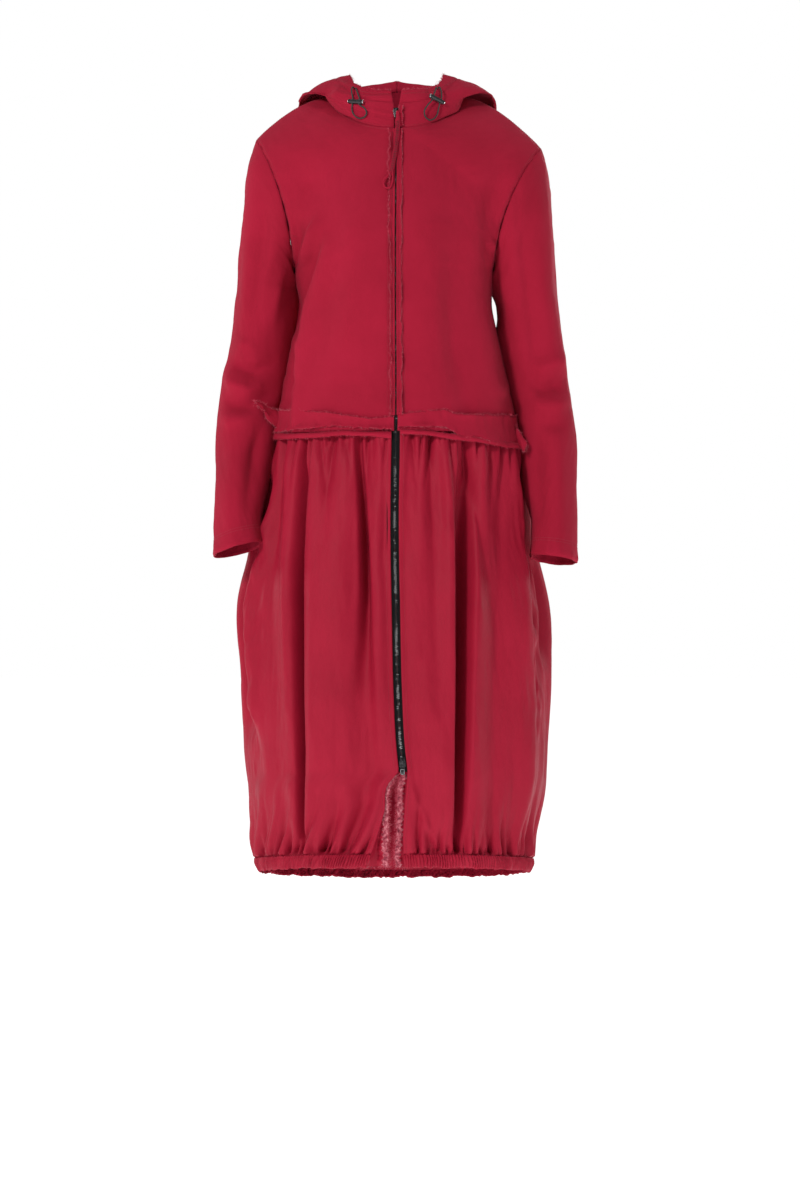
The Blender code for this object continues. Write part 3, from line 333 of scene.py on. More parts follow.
def bodice_grid(side, front, columns, rows_low, rows_high):
    steps = np.linspace(0, 1, columns)
    low = [bodice_ring(side, z, steps, front) for z in np.linspace(WAIST_Z, UNDERARM_Z, rows_low)[:-1]]
    high = [yoke_row(side, step, steps, front) for step in np.linspace(0, ARM_STEPS, rows_high)]
    return np.array(low + high)


def sleeve_ring(side, z, turns):
    """A ring of the sleeve: turn 0 is its outer edge, a quarter turn its front."""
    table = SLEEVES[side]
    outer, inner, mid_y, half_y = (float(smooth(table, name, z)) for name in Sleeve._fields[1:])
    reach = (outer - inner) / 2
    x = (outer + inner) / 2 + reach * np.cos(turns)
    y = mid_y - half_y * np.sin(turns)
    tilt = ease(table[-3].z, table[-1].z, z)
    height = z + tilt * (CUFF_TILT_X[side] * reach * np.cos(turns) + CUFF_TILT_Y * (y - mid_y))
    return np.stack([x, y, height], axis=-1)


def sleeve_grid(side, columns, rows_head, rows_arm):
    turns = np.arange(columns) * 2 * math.pi / columns
    at = turns / math.pi * ARM_STEPS
    loop = np.array([armhole(side, ARM_STEPS - a,
                             True) if a <= ARM_STEPS else armhole(side, a - ARM_STEPS, False)
                     for a in at])
    table = SLEEVES[side]
    first = sleeve_ring(side, table[0].z, turns)
    share = ((1 + np.cos(turns)) / 2)[:, None]
    pull = share * np.array(SLEEVE_TOP_PULL) + (1 - share) * np.array(SLEEVE_UNDER_PULL)
    pull[:, 1] *= np.sin(turns)
    rise = share * SLEEVE_RISE_TOP + (1 - share) * SLEEVE_RISE_UNDER
    rows = [bezier(loop, loop + pull, first + rise * np.array(SLEEVE_RISE_LEAN), first, t)
            for t in np.linspace(0, 1, rows_head)[:-1]]
    rows += [sleeve_ring(side, z, turns) for z in np.linspace(table[0].z, table[-1].z, rows_arm)]
    return np.array(rows)


def hood_rib(side, angle, steps):
    """One rib of the hood from the neck seam, out and down to its fold, and up to the raw face edge."""
    degrees = math.degrees(angle)
    edge = bodice_edge(side, NECK_PIT_Z)
    points = [neckline(side, angle) + (0, 0, HOOD_LIFT)]
    for name in ("stand", "inner", "fold", "outer", "edge"):
        radius, z = (float(smooth(HOOD, name + axis, degrees, "angle")) for axis in ("_r", "_z"))
        lean = max(0.0, z - ZIP_TOP_Z) / (HOOD[0].edge_z - ZIP_TOP_Z) * HOOD_NOTCH_LEAN
        near = (edge + lean) * max(0.0, 1 - math.sin(angle)) if angle < math.pi / 2 else 0.0
        points.append(np.array([radius * math.sin(angle) + near, NECK_Y - radius * math.cos(angle), z]))
    return spline(points, steps)


def hood_grid(side, columns, rows):
    ribs = [hood_rib(side, angle, np.linspace(0, 1, rows)) for angle in np.linspace(0, math.pi, columns)]
    ribs[-1][:, 0] = 0.0
    return np.array(ribs).transpose(1, 0, 2)


def skirt_row(side, z, steps):
    """A row of the skirt at places round the side (0 front edge, 1 side seam, 2 centre back), without
    folds."""
    s = np.asarray(steps, float)
    half, front, back = (float(smooth(SKIRT, name, z)) for name in (side, "front", "back"))
    half -= DRAWN_IN[side] * math.exp(-((z - DRAWN_IN_Z) / DRAWN_IN_REACH) ** 2)
    side_y = SIDE_SEAM_Y + (SKIRT_SIDE_Y - SIDE_SEAM_Y) * float(ease(WAIST_Z, SKIRT_SIDE_SETTLED_Z, z))
    row = np.zeros((len(s), 3))
    ahead = s <= 1
    row[ahead] = quarter(float(skirt_edge(side, z)), -front, half, side_y, s[ahead])
    row[~ahead] = quarter(0.0, back, half, side_y, 2 - s[~ahead])
    drop = HEM_DROP_BACK * (1 - np.cos(math.pi * s / 2)) / 2
    row[:, 2] = z - drop * ease(HEM_DROP_START_Z, HEM_Z, z)
    return row


# ---------------------------------------------------------------- folds and noise
def to_px(points):
    """Photograph coordinates of points on the front."""
    scale = PX * (points[..., 1] - CAMERA[1]) / -CAMERA[1]
    return (CENTRE_PX[0] + (points[..., 0] - CAMERA[0]) / scale,
            CENTRE_PX[1] - (points[..., 2] - CAMERA[2]) / scale)


def to_back_px(points):
    """The same units for the back, seen from behind."""
    return CENTRE_PX[0] - points[..., 0] / PX, CENTRE_PX[1] - (points[..., 2] - CAMERA[2]) / PX


def from_px(x, y, depth):
    """The point at a depth (world y) that shows at a place in the photograph."""
    scale = PX * (depth - CAMERA[1]) / -CAMERA[1]
    return np.stack([(x - CENTRE_PX[0]) * scale + CAMERA[0], depth + 0 * x,
                     CAMERA[2] + (CENTRE_PX[1] - y) * scale], axis=-1)


def crease_field(x, y, creases):
    """Sum of listed folds: each a line of (x, y, width to its left, width to its right, depth in mm)."""
    total = np.zeros(x.shape)
    for power, path in creases:
        path = np.array(path, float)
        nearest = np.full(x.shape, np.inf)
        push = np.zeros(x.shape)
        for a, b in zip(path[:-1], path[1:]):
            run_x, run_y = b[0] - a[0], b[1] - a[1]
            t = np.clip(((x - a[0]) * run_x + (y - a[1]) * run_y) / (run_x ** 2 + run_y ** 2), 0, 1)
            off_x, off_y = x - a[0] - t * run_x, y - a[1] - t * run_y
            away = np.hypot(off_x, off_y)
            on_right = run_x * off_y - run_y * off_x < 0
            width, depth = np.where(on_right, a[3] + t * (b[3] - a[3]), a[2] + t * (b[2] - a[2])), \
                a[4] + t * (b[4] - a[4])
            here = depth * np.exp(-(away / width) ** power)
            push = np.where(away < nearest, here, push)
            nearest = np.minimum(nearest, away)
        total += push
    return total * 0.001


def noise(u, v, seed, cells=64):
    """Smooth value noise, about -1 to 1, with one cell to a unit."""
    table = np.random.RandomState(seed).uniform(-1, 1, (cells, cells))
    column, row = np.floor(u).astype(int), np.floor(v).astype(int)
    s, t = u - column, v - row
    s, t = s * s * (3 - 2 * s), t * t * (3 - 2 * t)
    corner = [[table[(row + i) % cells, (column + j) % cells] for j in (0, 1)] for i in (0, 1)]
    low = corner[0][0] * (1 - s) + corner[0][1] * s
    high = corner[1][0] * (1 - s) + corner[1][1] * s
    return low * (1 - t) + high * t


def gathers(u, along, seed, spacing, depth, reach, width, sharp=1.3):
    """Gathers running from a seam: narrow valleys at uneven places along u, fading and widening with
    distance."""
    random = np.random.RandomState(seed)
    push = np.zeros(u.shape)
    middle = u.min() - spacing
    while middle < u.max() + spacing:
        middle += spacing * random.uniform(0.55, 1.5)
        length = reach * random.uniform(0.35, 1.0) ** 1.2
        size = depth * random.uniform(0.45, 1.15)
        drift = random.normal(0, 0.10)
        half = width * random.uniform(0.7, 1.4)
        spread = half * (1 + 2.2 * along / reach)
        away = np.abs(u - middle - drift * along) / spread
        push -= size * np.exp(-away ** sharp) * np.exp(-(along / length) ** 1.6)
    return push


# ---------------------------------------------------------------- meshes
def lengths(points, axis):
    """Distance along the rows (axis 1) or columns (axis 0) of a grid, from its first point."""
    steps = np.linalg.norm(np.diff(points, axis=axis), axis=-1)
    pad = [(0, 0), (0, 0)]
    pad[axis] = (1, 0)
    return np.cumsum(np.pad(steps, pad), axis=axis)


def grid_normals(points, closed=False):
    padded = np.concatenate([points[:, -1:], points, points[:, :1]], axis=1) if closed else points
    across = np.gradient(padded, axis=1)
    along = np.gradient(points, axis=0)
    if closed:
        across = across[:, 1:-1]
    return unit(np.cross(across, along))


def place(points, side):
    """A grid worked out on the +X side, set on its own side, still facing out."""
    if side == LEFT:
        return points
    return (points * (-1, 1, 1))[:, ::-1]


def link(name, mesh, look, slot, body="dress", nodes=()):
    made = bpy.data.objects.new(name, mesh)
    bpy.context.scene.collection.objects.link(made)
    if look:
        mesh.materials.append(look)
    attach(made, body)
    if nodes:
        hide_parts(*nodes)
    return made


def mesh_from(name, points, quads, uv=None, smooth_faces=True):
    """A mesh from arrays of points and four-cornered faces, with a map in metres."""
    mesh = bpy.data.meshes.new(name)
    quads = np.asarray(quads, np.int32)
    mesh.vertices.add(len(points))
    mesh.vertices.foreach_set("co", np.asarray(points, np.float32).ravel())
    mesh.loops.add(quads.size)
    mesh.loops.foreach_set("vertex_index", quads.ravel())
    mesh.polygons.add(len(quads))
    mesh.polygons.foreach_set("loop_start", np.arange(len(quads), dtype=np.int32) * 4)
    mesh.polygons.foreach_set("loop_total", np.full(len(quads), 4, np.int32))
    mesh.update(calc_edges=True)
    mesh.polygons.foreach_set("use_smooth", np.full(len(quads), smooth_faces))
    if uv is not None:
        layer = mesh.uv_layers.new(name="cloth")
        layer.data.foreach_set("uv", np.asarray(uv, np.float32).ravel())
    mesh.validate()
    return mesh


def parted_normals(points, column, row):
    """Normals of a panel whose cloth parts above a row, between a column and the next."""
    normals = np.concatenate([grid_normals(points[:, :column + 1]), grid_normals(points[:, column + 1:])],
                             axis=1)
    shared = unit(normals[:row + 1, column] + normals[:row + 1, column + 1])
    normals[:row + 1, column] = normals[:row + 1, column + 1] = shared
    return normals


def shell(name, points, thickness, look, slot, nodes=(), closed=False, split=None):
    """A closed sheet of cloth with a grid of points as its outer face. With a split (column, row), the cloth
    parts above that row, between that column and the next."""
    rows, columns = points.shape[:2]
    normals = grid_normals(points, closed) if split is None else parted_normals(points, *split)
    inner = points - normals * thickness
    index = np.arange(rows * columns).reshape(rows, columns)
    if split:
        index[:split[1] + 1, split[0] + 1] = index[:split[1] + 1, split[0]]
    wide = np.concatenate([points, points[:, :1]], axis=1) if closed else points
    u, v = lengths(wide, 1), lengths(wide, 0)
    around = np.concatenate([index, index[:, :1]], axis=1) if closed else index
    count = rows * columns

    def corners(values, turned=False):
        a, b, c, d = values[:-1, :-1], values[:-1, 1:], values[1:, 1:], values[1:, :-1]
        order = (a, d, c, b) if turned else (a, b, c, d)
        return np.stack(order, axis=-1).reshape(-1, 4)

    faces, maps, rims = [], [], []
    for part in [slice(0, split[0] + 1), slice(split[0] + 1, None)] if split else [slice(None)]:
        at, along, up = around[:, part], u[:, part], v[:, part]
        faces += [corners(at), corners(at + count, True)]
        maps += [np.stack([corners(along), corners(up)], axis=-1),
                 np.stack([corners(along, True), corners(up, True)], axis=-1)]
        rims += [(at[0, ::-1], along[0, ::-1], up[0, ::-1]), (at[-1], along[-1], up[-1])]
    if not closed:
        rims += [(around[:, 0], u[:, 0], v[:, 0]), (around[::-1, -1], u[::-1, -1], v[::-1, -1])]
    if split:
        column, row = split
        rims += [(around[row:, column][::-1], u[row:, column][::-1], v[row:, column][::-1]),
                 (around[row:, column + 1], u[row:, column + 1], v[row:, column + 1])]
    for edge, along_u, along_v in rims:
        faces.append(np.stack([edge[:-1], edge[:-1] + count, edge[1:] + count, edge[1:]], axis=-1)[:, ::-1])
        flat = np.stack([along_u, along_v], axis=-1)
        maps.append(np.stack([flat[1:], flat[1:], flat[:-1], flat[:-1]], axis=1))
    used, corner_index = np.unique(np.concatenate(faces), return_inverse=True)
    mesh = mesh_from(name, np.concatenate([points.reshape(-1, 3), inner.reshape(-1, 3)])[used],
                     corner_index.reshape(-1, 4), np.concatenate(maps))
    return link(name, mesh, look, slot, nodes=nodes)


def tubes(paths, radius, sides, taper):
    """Points and faces of round threads along paths that all have the same number of points."""
    paths = np.asarray(paths, float)
    count, length = paths.shape[:2]
    along = unit(np.gradient(paths, axis=1))
    helper = np.where(np.abs(along[..., 2:3]) > 0.8, (1.0, 0.0, 0.0), (0.0, 0.0, 1.0))
    side = unit(np.cross(along, helper))
    up = np.cross(side, along)
    angle = np.arange(sides) * 2 * math.pi / sides
    size = radius * (np.ones(length) if taper is None else np.asarray(taper, float))
    ring = (side[..., None, :] * np.cos(angle)[:, None] + up[..., None, :] * np.sin(angle)[:, None])
    points = paths[:, :, None, :] + ring * size[None, :, None, None]
    index = np.arange(count * length * sides).reshape(count, length, sides)
    nxt = np.roll(index, -1, axis=2)
    faces = np.stack([index[:, :-1], nxt[:, :-1], nxt[:, 1:], index[:, 1:]], axis=-1).reshape(-1, 4)
    return points.reshape(-1, 3), faces[:, ::-1]


# The underarm's place down the bodice panels, as a fraction of their rows.
FRONT_UNDERARM = 55 / 128
BACK_UNDERARM = 43 / 104
THREAD = 0.00030
FINE_THREAD = 0.00028
FRAY_SPREAD = 0.7
FRAY_TAPER = (1, 1, 0.8, 0.3)


def thread_piece(name, paths, radius, look, slot="jersey", sides=3, taper=None):
    points, faces = tubes(paths, radius, sides, taper)
    return link(name, mesh_from(name, points, faces), LOOKS[look], slot)


def fray_piece(name, paths, radius, slot="jersey"):
    return thread_piece(name, paths, radius, "raw", slot, taper=FRAY_TAPER)


def stitches(path, out, pitch=0.0030, share=0.66, lift=0.00025):
    """Short threads lying along a seam, each dipping into the cloth at its ends."""
    route = resample(path, pitch / 8, fine_steps=1200)
    facing = resample(out, pitch / 8, fine_steps=1200)
    facing = facing[np.linspace(0, len(facing) - 1, len(route)).astype(int)]
    found = []
    reach = max(2, int(round(8 * share)))
    for start in range(0, len(route) - 8, 8):
        at = np.linspace(start, start + reach, 5)
        low = at.astype(int)
        part = route[low] + (at - low)[:, None] * (route[np.minimum(low + 1, len(route) - 1)] - route[low])
        bow = np.array([-1.2, 0.5, 1.0, 0.5, -1.2])[:, None] * lift
        found.append(part + unit(facing[low]) * bow)
    return found


def fray(found, edge, away, out, seed, density, length):
    """Loose thread ends along a raw edge: curved, uneven, mostly pointing away from the cloth."""
    random = np.random.RandomState(seed)
    run = np.concatenate([[0], np.cumsum(np.linalg.norm(np.diff(edge, axis=0), axis=1))])
    t = np.linspace(0, 1, len(FRAY_TAPER))[:, None]
    for _ in range(int(run[-1] * density)):
        at = random.uniform(0, run[-1])
        spot, go, face = ([np.interp(at, run,
                                     values[:, axis]) for axis in range(3)] for values in (edge, away, out))
        spot, go, face = np.array(spot), unit(np.array(go)), unit(np.array(face))
        side = np.cross(go, face)
        size = length * random.uniform(0.25, 1.0) ** 1.5 + 0.0006
        aim = unit(go + side * random.normal(0, FRAY_SPREAD) + face * random.normal(0.15, 0.35))
        curl = side * random.normal(0, 0.5) + face * random.normal(0, 0.4)
        found.append(spot + (aim * t + curl * t * t * 0.5) * size - go * 0.0004)


# ---------------------------------------------------------------- materials
def node_maker(tree):
    def add(kind, **settings):
        made = tree.nodes.new(kind)
        for key, value in settings.items():
            if key in made.inputs:
                made.inputs[key].default_value = value
            else:
                setattr(made, key, value)
        return made
    return add


def new_material(name):
    made = bpy.data.materials.new(name)
    made.use_nodes = True
    tree = made.node_tree
    return made, tree, tree.nodes["Principled BSDF"], node_maker(tree)


def ramp(add, stops):
    made = add("ShaderNodeValToRGB")
    bar = made.color_ramp
    while len(bar.elements) < len(stops):
        bar.elements.new(0.5)
    for element, (position, colour) in zip(bar.elements, stops):
        element.position = position
        element.color = (*colour, 1.0)
    return made


def cloth_material(name, dark, mid, light, roughness, sheen, sheen_tint, thread, weave_depth, fuzz_depth,
                   crinkle_depth, crinkle_scale, knit, fleck_share=0.45, fleck_scale=1400.0):
    """Cloth with a woven or knitted surface in metres, uneven dye, and fine crinkles."""
    made, tree, shader, add = new_material(name)
    wire = tree.links.new
    cloth = add("ShaderNodeUVMap", uv_map="cloth")
    spot = add("ShaderNodeTexCoord")
    dye = add("ShaderNodeTexNoise", Scale=9.0, Detail=4.0, Roughness=0.55)
    wire(spot.outputs["Object"], dye.inputs["Vector"])
    fleck = add("ShaderNodeTexNoise", Scale=fleck_scale, Detail=2.0, Roughness=0.7)
    wire(spot.outputs["Object"], fleck.inputs["Vector"])
    blend = add("ShaderNodeMix", data_type="FLOAT", Factor=fleck_share)
    wire(dye.outputs["Fac"], blend.inputs["A"])
    wire(fleck.outputs["Fac"], blend.inputs["B"])
    colour = ramp(add, ((0.30, dark), (0.50, mid), (0.72, light)))
    wire(blend.outputs["Result"], colour.inputs["Fac"])
    wire(colour.outputs["Color"], shader.inputs["Base Color"])
    turn = add("ShaderNodeMapping")
    turn.inputs["Rotation"].default_value = (0, 0, math.radians(45.0 if knit else 0.0))
    wire(cloth.outputs["UV"], turn.inputs["Vector"])
    bands = math.tau / 20.0 / thread
    warp = add("ShaderNodeTexWave", wave_type="BANDS", bands_direction="X", Scale=bands, Distortion=0.35,
               Detail=1.0)
    weft = add("ShaderNodeTexWave", wave_type="BANDS", bands_direction="Y", Scale=bands, Distortion=0.35,
               Detail=1.0)
    for wave in (warp, weft):
        wire(turn.outputs["Vector"], wave.inputs["Vector"])
    weave = add("ShaderNodeMath", operation="MULTIPLY")
    wire(warp.outputs["Fac"], weave.inputs[0])
    wire(weft.outputs["Fac"], weave.inputs[1])
    fuzz = add("ShaderNodeTexNoise", Scale=2600.0, Detail=3.0, Roughness=0.7)
    wire(spot.outputs["Object"], fuzz.inputs["Vector"])
    crinkle = add("ShaderNodeTexNoise", Scale=crinkle_scale, Detail=5.0, Roughness=0.6, Distortion=0.4)
    wire(spot.outputs["Object"], crinkle.inputs["Vector"])
    last = None
    for source, depth in ((crinkle.outputs["Fac"], crinkle_depth), (weave.outputs["Value"], weave_depth),
                          (fuzz.outputs["Fac"], fuzz_depth)):
        bump = add("ShaderNodeBump", Strength=1.0, Distance=depth)
        wire(source, bump.inputs["Height"])
        if last:
            wire(last.outputs["Normal"], bump.inputs["Normal"])
        last = bump
    wire(last.outputs["Normal"], shader.inputs["Normal"])
    shine = add("ShaderNodeMapRange")
    shine.inputs["From Min"].default_value = 0.35
    shine.inputs["From Max"].default_value = 0.70
    shine.inputs["To Min"].default_value = roughness - 0.05
    shine.inputs["To Max"].default_value = roughness + 0.05
    wire(dye.outputs["Fac"], shine.inputs["Value"])
    wire(shine.outputs["Result"], shader.inputs["Roughness"])
    shader.inputs["Sheen Weight"].default_value = sheen
    shader.inputs["Sheen Roughness"].default_value = 0.45
    shader.inputs["Sheen Tint"].default_value = (*sheen_tint, 1.0)
    shader.inputs["Specular IOR Level"].default_value = 0.10
    return made


def hard_material(name, dark, light, roughness, metallic, grain=900.0, depth=0.00002, wear=0.0):
    """Moulded or plated stuff: faint mottling, uneven gloss and, for metal, brighter worn places."""
    made, tree, shader, add = new_material(name)
    wire = tree.links.new
    spot = add("ShaderNodeTexCoord")
    mottle = add("ShaderNodeTexNoise", Scale=grain, Detail=4.0, Roughness=0.6)
    wire(spot.outputs["Object"], mottle.inputs["Vector"])
    colour = ramp(add, ((0.35, dark), (0.80 - wear, light)))
    wire(mottle.outputs["Fac"], colour.inputs["Fac"])
    wire(colour.outputs["Color"], shader.inputs["Base Color"])
    gloss = add("ShaderNodeMapRange")
    gloss.inputs["To Min"].default_value = max(0.05, roughness - 0.08)
    gloss.inputs["To Max"].default_value = roughness + 0.10
    wire(mottle.outputs["Fac"], gloss.inputs["Value"])
    wire(gloss.outputs["Result"], shader.inputs["Roughness"])
    bump = add("ShaderNodeBump", Strength=0.6, Distance=depth)
    wire(mottle.outputs["Fac"], bump.inputs["Height"])
    wire(bump.outputs["Normal"], shader.inputs["Normal"])
    shader.inputs["Metallic"].default_value = metallic
    return made


LOOKS = {
    "jersey": cloth_material("red_jersey", (0.245, 0.0060, 0.0205), (0.300, 0.0080, 0.0265),
                             (0.345, 0.011, 0.034), 0.92,
                             0.05, (1.0, 0.30, 0.42), 0.0009, 0.00006, 0.00008, 0.00025, 60.0, True),
    "woven": cloth_material("red_woven", (0.245, 0.0050, 0.0195), (0.300, 0.0070, 0.0250),
                            (0.345, 0.010, 0.032), 0.55,
                            0.03, (1.0, 0.30, 0.42), 0.00055, 0.00004, 0.00002, 0.00055, 85.0, False),
    "raw": cloth_material("red_raw_edge", (0.36, 0.020, 0.045), (0.46, 0.040, 0.075), (0.60, 0.110, 0.150),
                          0.95,
                          0.35, (1.0, 0.55, 0.60), 0.0008, 0.00008, 0.00012, 0.0002, 90.0, True),
    "lining": cloth_material("linty_lining", (0.080, 0.008, 0.016), (0.330, 0.050, 0.075),
                             (0.620, 0.240, 0.270), 0.95,
                             0.20, (1.0, 0.55, 0.60), 0.0008, 0.00010, 0.00020, 0.0004, 90.0, True, 0.85,
                             260.0),
    "tape_thread": hard_material("dark_thread", (0.010, 0.004, 0.005), (0.050, 0.012, 0.016), 0.75, 0.0,
                                 3000.0),
    "thread": hard_material("red_thread", (0.24, 0.008, 0.022), (0.40, 0.030, 0.055), 0.70, 0.0, 3000.0),
    "tape": cloth_material("black_zip_tape", (0.003, 0.003, 0.0035), (0.005, 0.005, 0.0055),
                           (0.009, 0.009, 0.0095), 0.80,
                           0.0, (0.5, 0.5, 0.5), 0.0007, 0.00010, 0.00003, 0.0001, 90.0, False),
    "metal": hard_material("black_zip_metal", (0.012, 0.012, 0.013), (0.10, 0.10, 0.105), 0.30, 1.0, 700.0,
                           wear=0.10),
    # Silver: the cord locks' end rings and the tab's rim, and also the painted glints on the zip teeth in the glinting
    # rows.
    "silver": hard_material("silver_and_painted_glint", (0.42, 0.42, 0.43), (0.75, 0.75, 0.76), 0.24, 1.0, 700.0),
    "plastic": hard_material("black_plastic", (0.008, 0.008, 0.009), (0.022, 0.022, 0.024), 0.34, 0.0, 500.0),
    "elastic": hard_material("elastic_cord", (0.006, 0.008, 0.007), (0.034, 0.042, 0.038), 0.72, 0.0, 2400.0,
                             0.00015),
}

# ---------------------------------------------------------------- where the folds are
# Each crease: (power, rows of x, y, width to the left, width to the right, depth in mm), top to bottom.
BODICE_CREASES = (
    (2.0, ((330, 232, 5, 9, 0.0), (322, 258, 5, 11, 2.2), (311, 300, 5, 13, 3.2), (302, 350, 4, 13, 3.4),
           (297, 395, 4, 12, 2.6), (294, 428, 4, 10, 1.5))),
    (2.0, ((322, 236, 7, 7, 0.0), (312, 262, 8, 6, -2.4), (302, 305, 8, 5, -3.2), (294, 350, 7, 5, -2.6),
           (289, 400, 7, 5, -1.5))),
    (2.0, ((318, 214, 4, 8, 0.0), (311, 230, 3, 8, 2.4), (302, 254, 3, 7, 2.2), (297, 270, 4, 6, 0.0))),
    (2.0, ((296, 210, 9, 7, 0.0), (296, 235, 9, 6, -2.6), (292, 262, 7, 5, -2.0))),
    (2.0, ((284, 232, 3, 3, 0.0), (290, 235, 4, 4, 1.4), (298, 238, 4, 4, 0.0))),
    (2.0, ((499, 242, 4, 4, 0.0), (492, 245, 5, 5, 1.4), (485, 246, 4, 4, 0.0))),
    (2.0, ((478, 196, 10, 8, 0.0), (474, 240, 12, 8, 1.6), (478, 300, 12, 9, 2.4), (489, 360, 10, 8, 2.2),
           (500, 410, 10, 8, 1.0))),
    (2.0,
     ((452, 235, 12, 12, 0.0), (450, 290, 12, 14, -1.6), (456, 350, 12, 14, -2.2), (468, 410, 12, 12, -1.6),
           (472, 430, 12, 12, -1.2))),
    (2.0,
     ((425, 180, 22, 22, 0.0), (430, 225, 26, 24, 2.0), (432, 290, 24, 22, 1.4), (436, 390, 22, 20, 0.6))),
    (2.0,
     ((372, 180, 22, 24, 0.0), (362, 230, 24, 26, 2.2), (352, 300, 22, 24, 1.2), (345, 390, 20, 22, 0.4))),
    (2.0, ((300, 150, 12, 16, 0.0), (306, 182, 14, 16, -2.0), (318, 212, 12, 14, 0.0))),
    (2.0,
     ((505, 158, 14, 12, 0.0), (498, 188, 14, 12, -2.2), (488, 216, 12, 10, -1.2), (480, 230, 10, 10, 0.0))),
    (2.0, ((288, 330, 6, 6, 0.0), (296, 345, 6, 6, 1.6), (306, 352, 6, 6, 0.0))),
    (2.0, ((284, 366, 6, 5, 0.0), (294, 380, 6, 5, -1.4), (303, 386, 6, 5, 0.0))),
    (2.0, ((509, 380, 6, 5, 0.0), (501, 392, 6, 5, 1.3), (492, 398, 6, 5, 0.0))),
)
BACK_CREASES = (
    (2.0, ((330, 250, 9, 12, 0.0), (338, 310, 9, 13, 2.6), (346, 370, 8, 13, 3.2), (350, 420, 8, 11, 1.8))),
    (2.0, ((318, 250, 9, 8, 0.0), (324, 310, 10, 8, -2.6), (332, 380, 10, 8, -2.4), (336, 424, 9, 8, -1.4))),
    (2.0, ((462, 240, 12, 9, 0.0), (455, 300, 13, 9, 2.8), (450, 360, 13, 8, 2.6), (446, 424, 12, 8, 1.4))),
    (2.0, ((476, 252, 8, 10, 0.0), (470, 312, 8, 10, -2.8), (462, 384, 8, 10, -2.2), (458, 424, 8, 9, -1.2))),
    (2.0,
     ((400, 270, 16, 16, 0.0), (396, 330, 15, 15, -2.4), (402, 384, 13, 13, -3.6), (404, 426, 12, 12, -2.0))),
    (2.0, ((372, 320, 9, 9, 0.0), (376, 372, 10, 9, 1.8), (380, 424, 9, 9, 1.0))),
    (2.0, ((290, 205, 12, 14, 0.0), (302, 240, 12, 12, -3.0), (310, 262, 10, 10, 0.0))),
    (2.0, ((512, 208, 14, 12, 0.0), (500, 240, 12, 12, -3.0), (492, 264, 10, 10, 0.0))),
    (2.0, ((320, 392, 7, 7, 0.0), (350, 402, 7, 7, 1.8), (384, 398, 7, 7, 0.0))),
    (2.0, ((420, 398, 7, 7, 0.0), (448, 404, 7, 7, 1.6), (478, 396, 7, 7, 0.0))),
)
SLEEVE_CREASES = {
    RIGHT: (
        (2.0, ((257, 146, 3, 7, 0.0), (252, 170, 3, 8, 2.6), (244, 230, 3, 9, 3.0), (238, 290, 4, 10, 2.6),
               (233, 335, 5, 10, 1.2))),
        (2.0, ((268, 190, 6, 8, 0.0), (262, 235, 7, 9, -2.6), (256, 290, 7, 9, -2.6), (250, 335, 7, 8, 0.0))),
        (2.0, ((284, 262, 6, 5, 0.0), (278, 292, 6, 5, 2.4), (270, 330, 6, 6, 0.0))),
        (2.0,
         ((226, 352, 6, 6, 0.0), (238, 366, 6, 7, -3.4), (256, 372, 6, 7, -3.8), (270, 366, 6, 6, -1.0))),
        (2.0, ((224, 372, 6, 6, 1.0), (234, 384, 6, 7, 3.6), (248, 390, 6, 6, 3.0), (264, 384, 6, 6, 0.0))),
        (2.0,
         ((222, 396, 6, 6, 0.0), (234, 404, 6, 6, -2.6), (250, 406, 6, 6, -3.0), (268, 398, 6, 6, -1.0))),
        (2.0, ((218, 412, 7, 7, 0.6), (230, 420, 7, 7, 2.4), (246, 420, 6, 6, 1.6), (260, 412, 6, 6, 0.0))),
        (2.0, ((262, 420, 6, 5, 0.0), (256, 450, 7, 6, -2.6), (250, 490, 8, 7, -2.0), (246, 528, 8, 7, 0.0))),
        (2.0, ((236, 430, 8, 9, 0.0), (234, 470, 9, 10, 1.8), (232, 520, 9, 10, 1.0))),
        (2.0, ((230, 352, 5, 5, 0.0), (244, 344, 5, 5, 1.8), (260, 350, 5, 5, 0.0))),
    ),
    LEFT: (
        (2.0, ((541, 158, 8, 5, 0.0), (544, 200, 10, 5, 2.4), (549, 260, 11, 5, 2.6), (556, 330, 11, 5, 2.4),
               (562, 372, 10, 6, 1.6))),
        (2.0,
         ((520, 200, 8, 9, 0.0), (524, 250, 8, 10, -2.0), (530, 310, 8, 11, -3.0), (534, 370, 8, 11, -2.0))),
        (2.0, ((500, 268, 5, 6, 0.0), (508, 300, 5, 7, 2.2), (514, 340, 5, 6, 0.0))),
        (2.0, ((566, 352, 6, 6, 0.6), (556, 362, 7, 7, 3.4), (542, 368, 7, 6, 2.6), (528, 362, 6, 6, 0.0))),
        (2.0,
         ((569, 374, 6, 6, 0.0), (556, 384, 6, 7, -3.2), (540, 388, 6, 7, -3.6), (524, 380, 6, 6, -1.0))),
        (2.0, ((571, 396, 6, 6, 0.8), (558, 404, 7, 7, 3.0), (542, 406, 7, 6, 2.0), (528, 398, 6, 6, 0.0))),
        (2.0, ((572, 418, 7, 6, 0.0), (560, 424, 7, 7, -1.8), (546, 424, 7, 7, -1.8), (530, 414, 6, 6, 0.0))),
        (2.0,
         ((536, 420, 8, 9, 0.0), (535, 460, 8, 10, -2.6), (536, 505, 8, 10, -2.2), (538, 540, 8, 9, 0.0))),
        (2.0, ((558, 432, 9, 8, 0.0), (560, 480, 10, 8, 1.8), (560, 535, 10, 8, 0.8))),
    ),
}
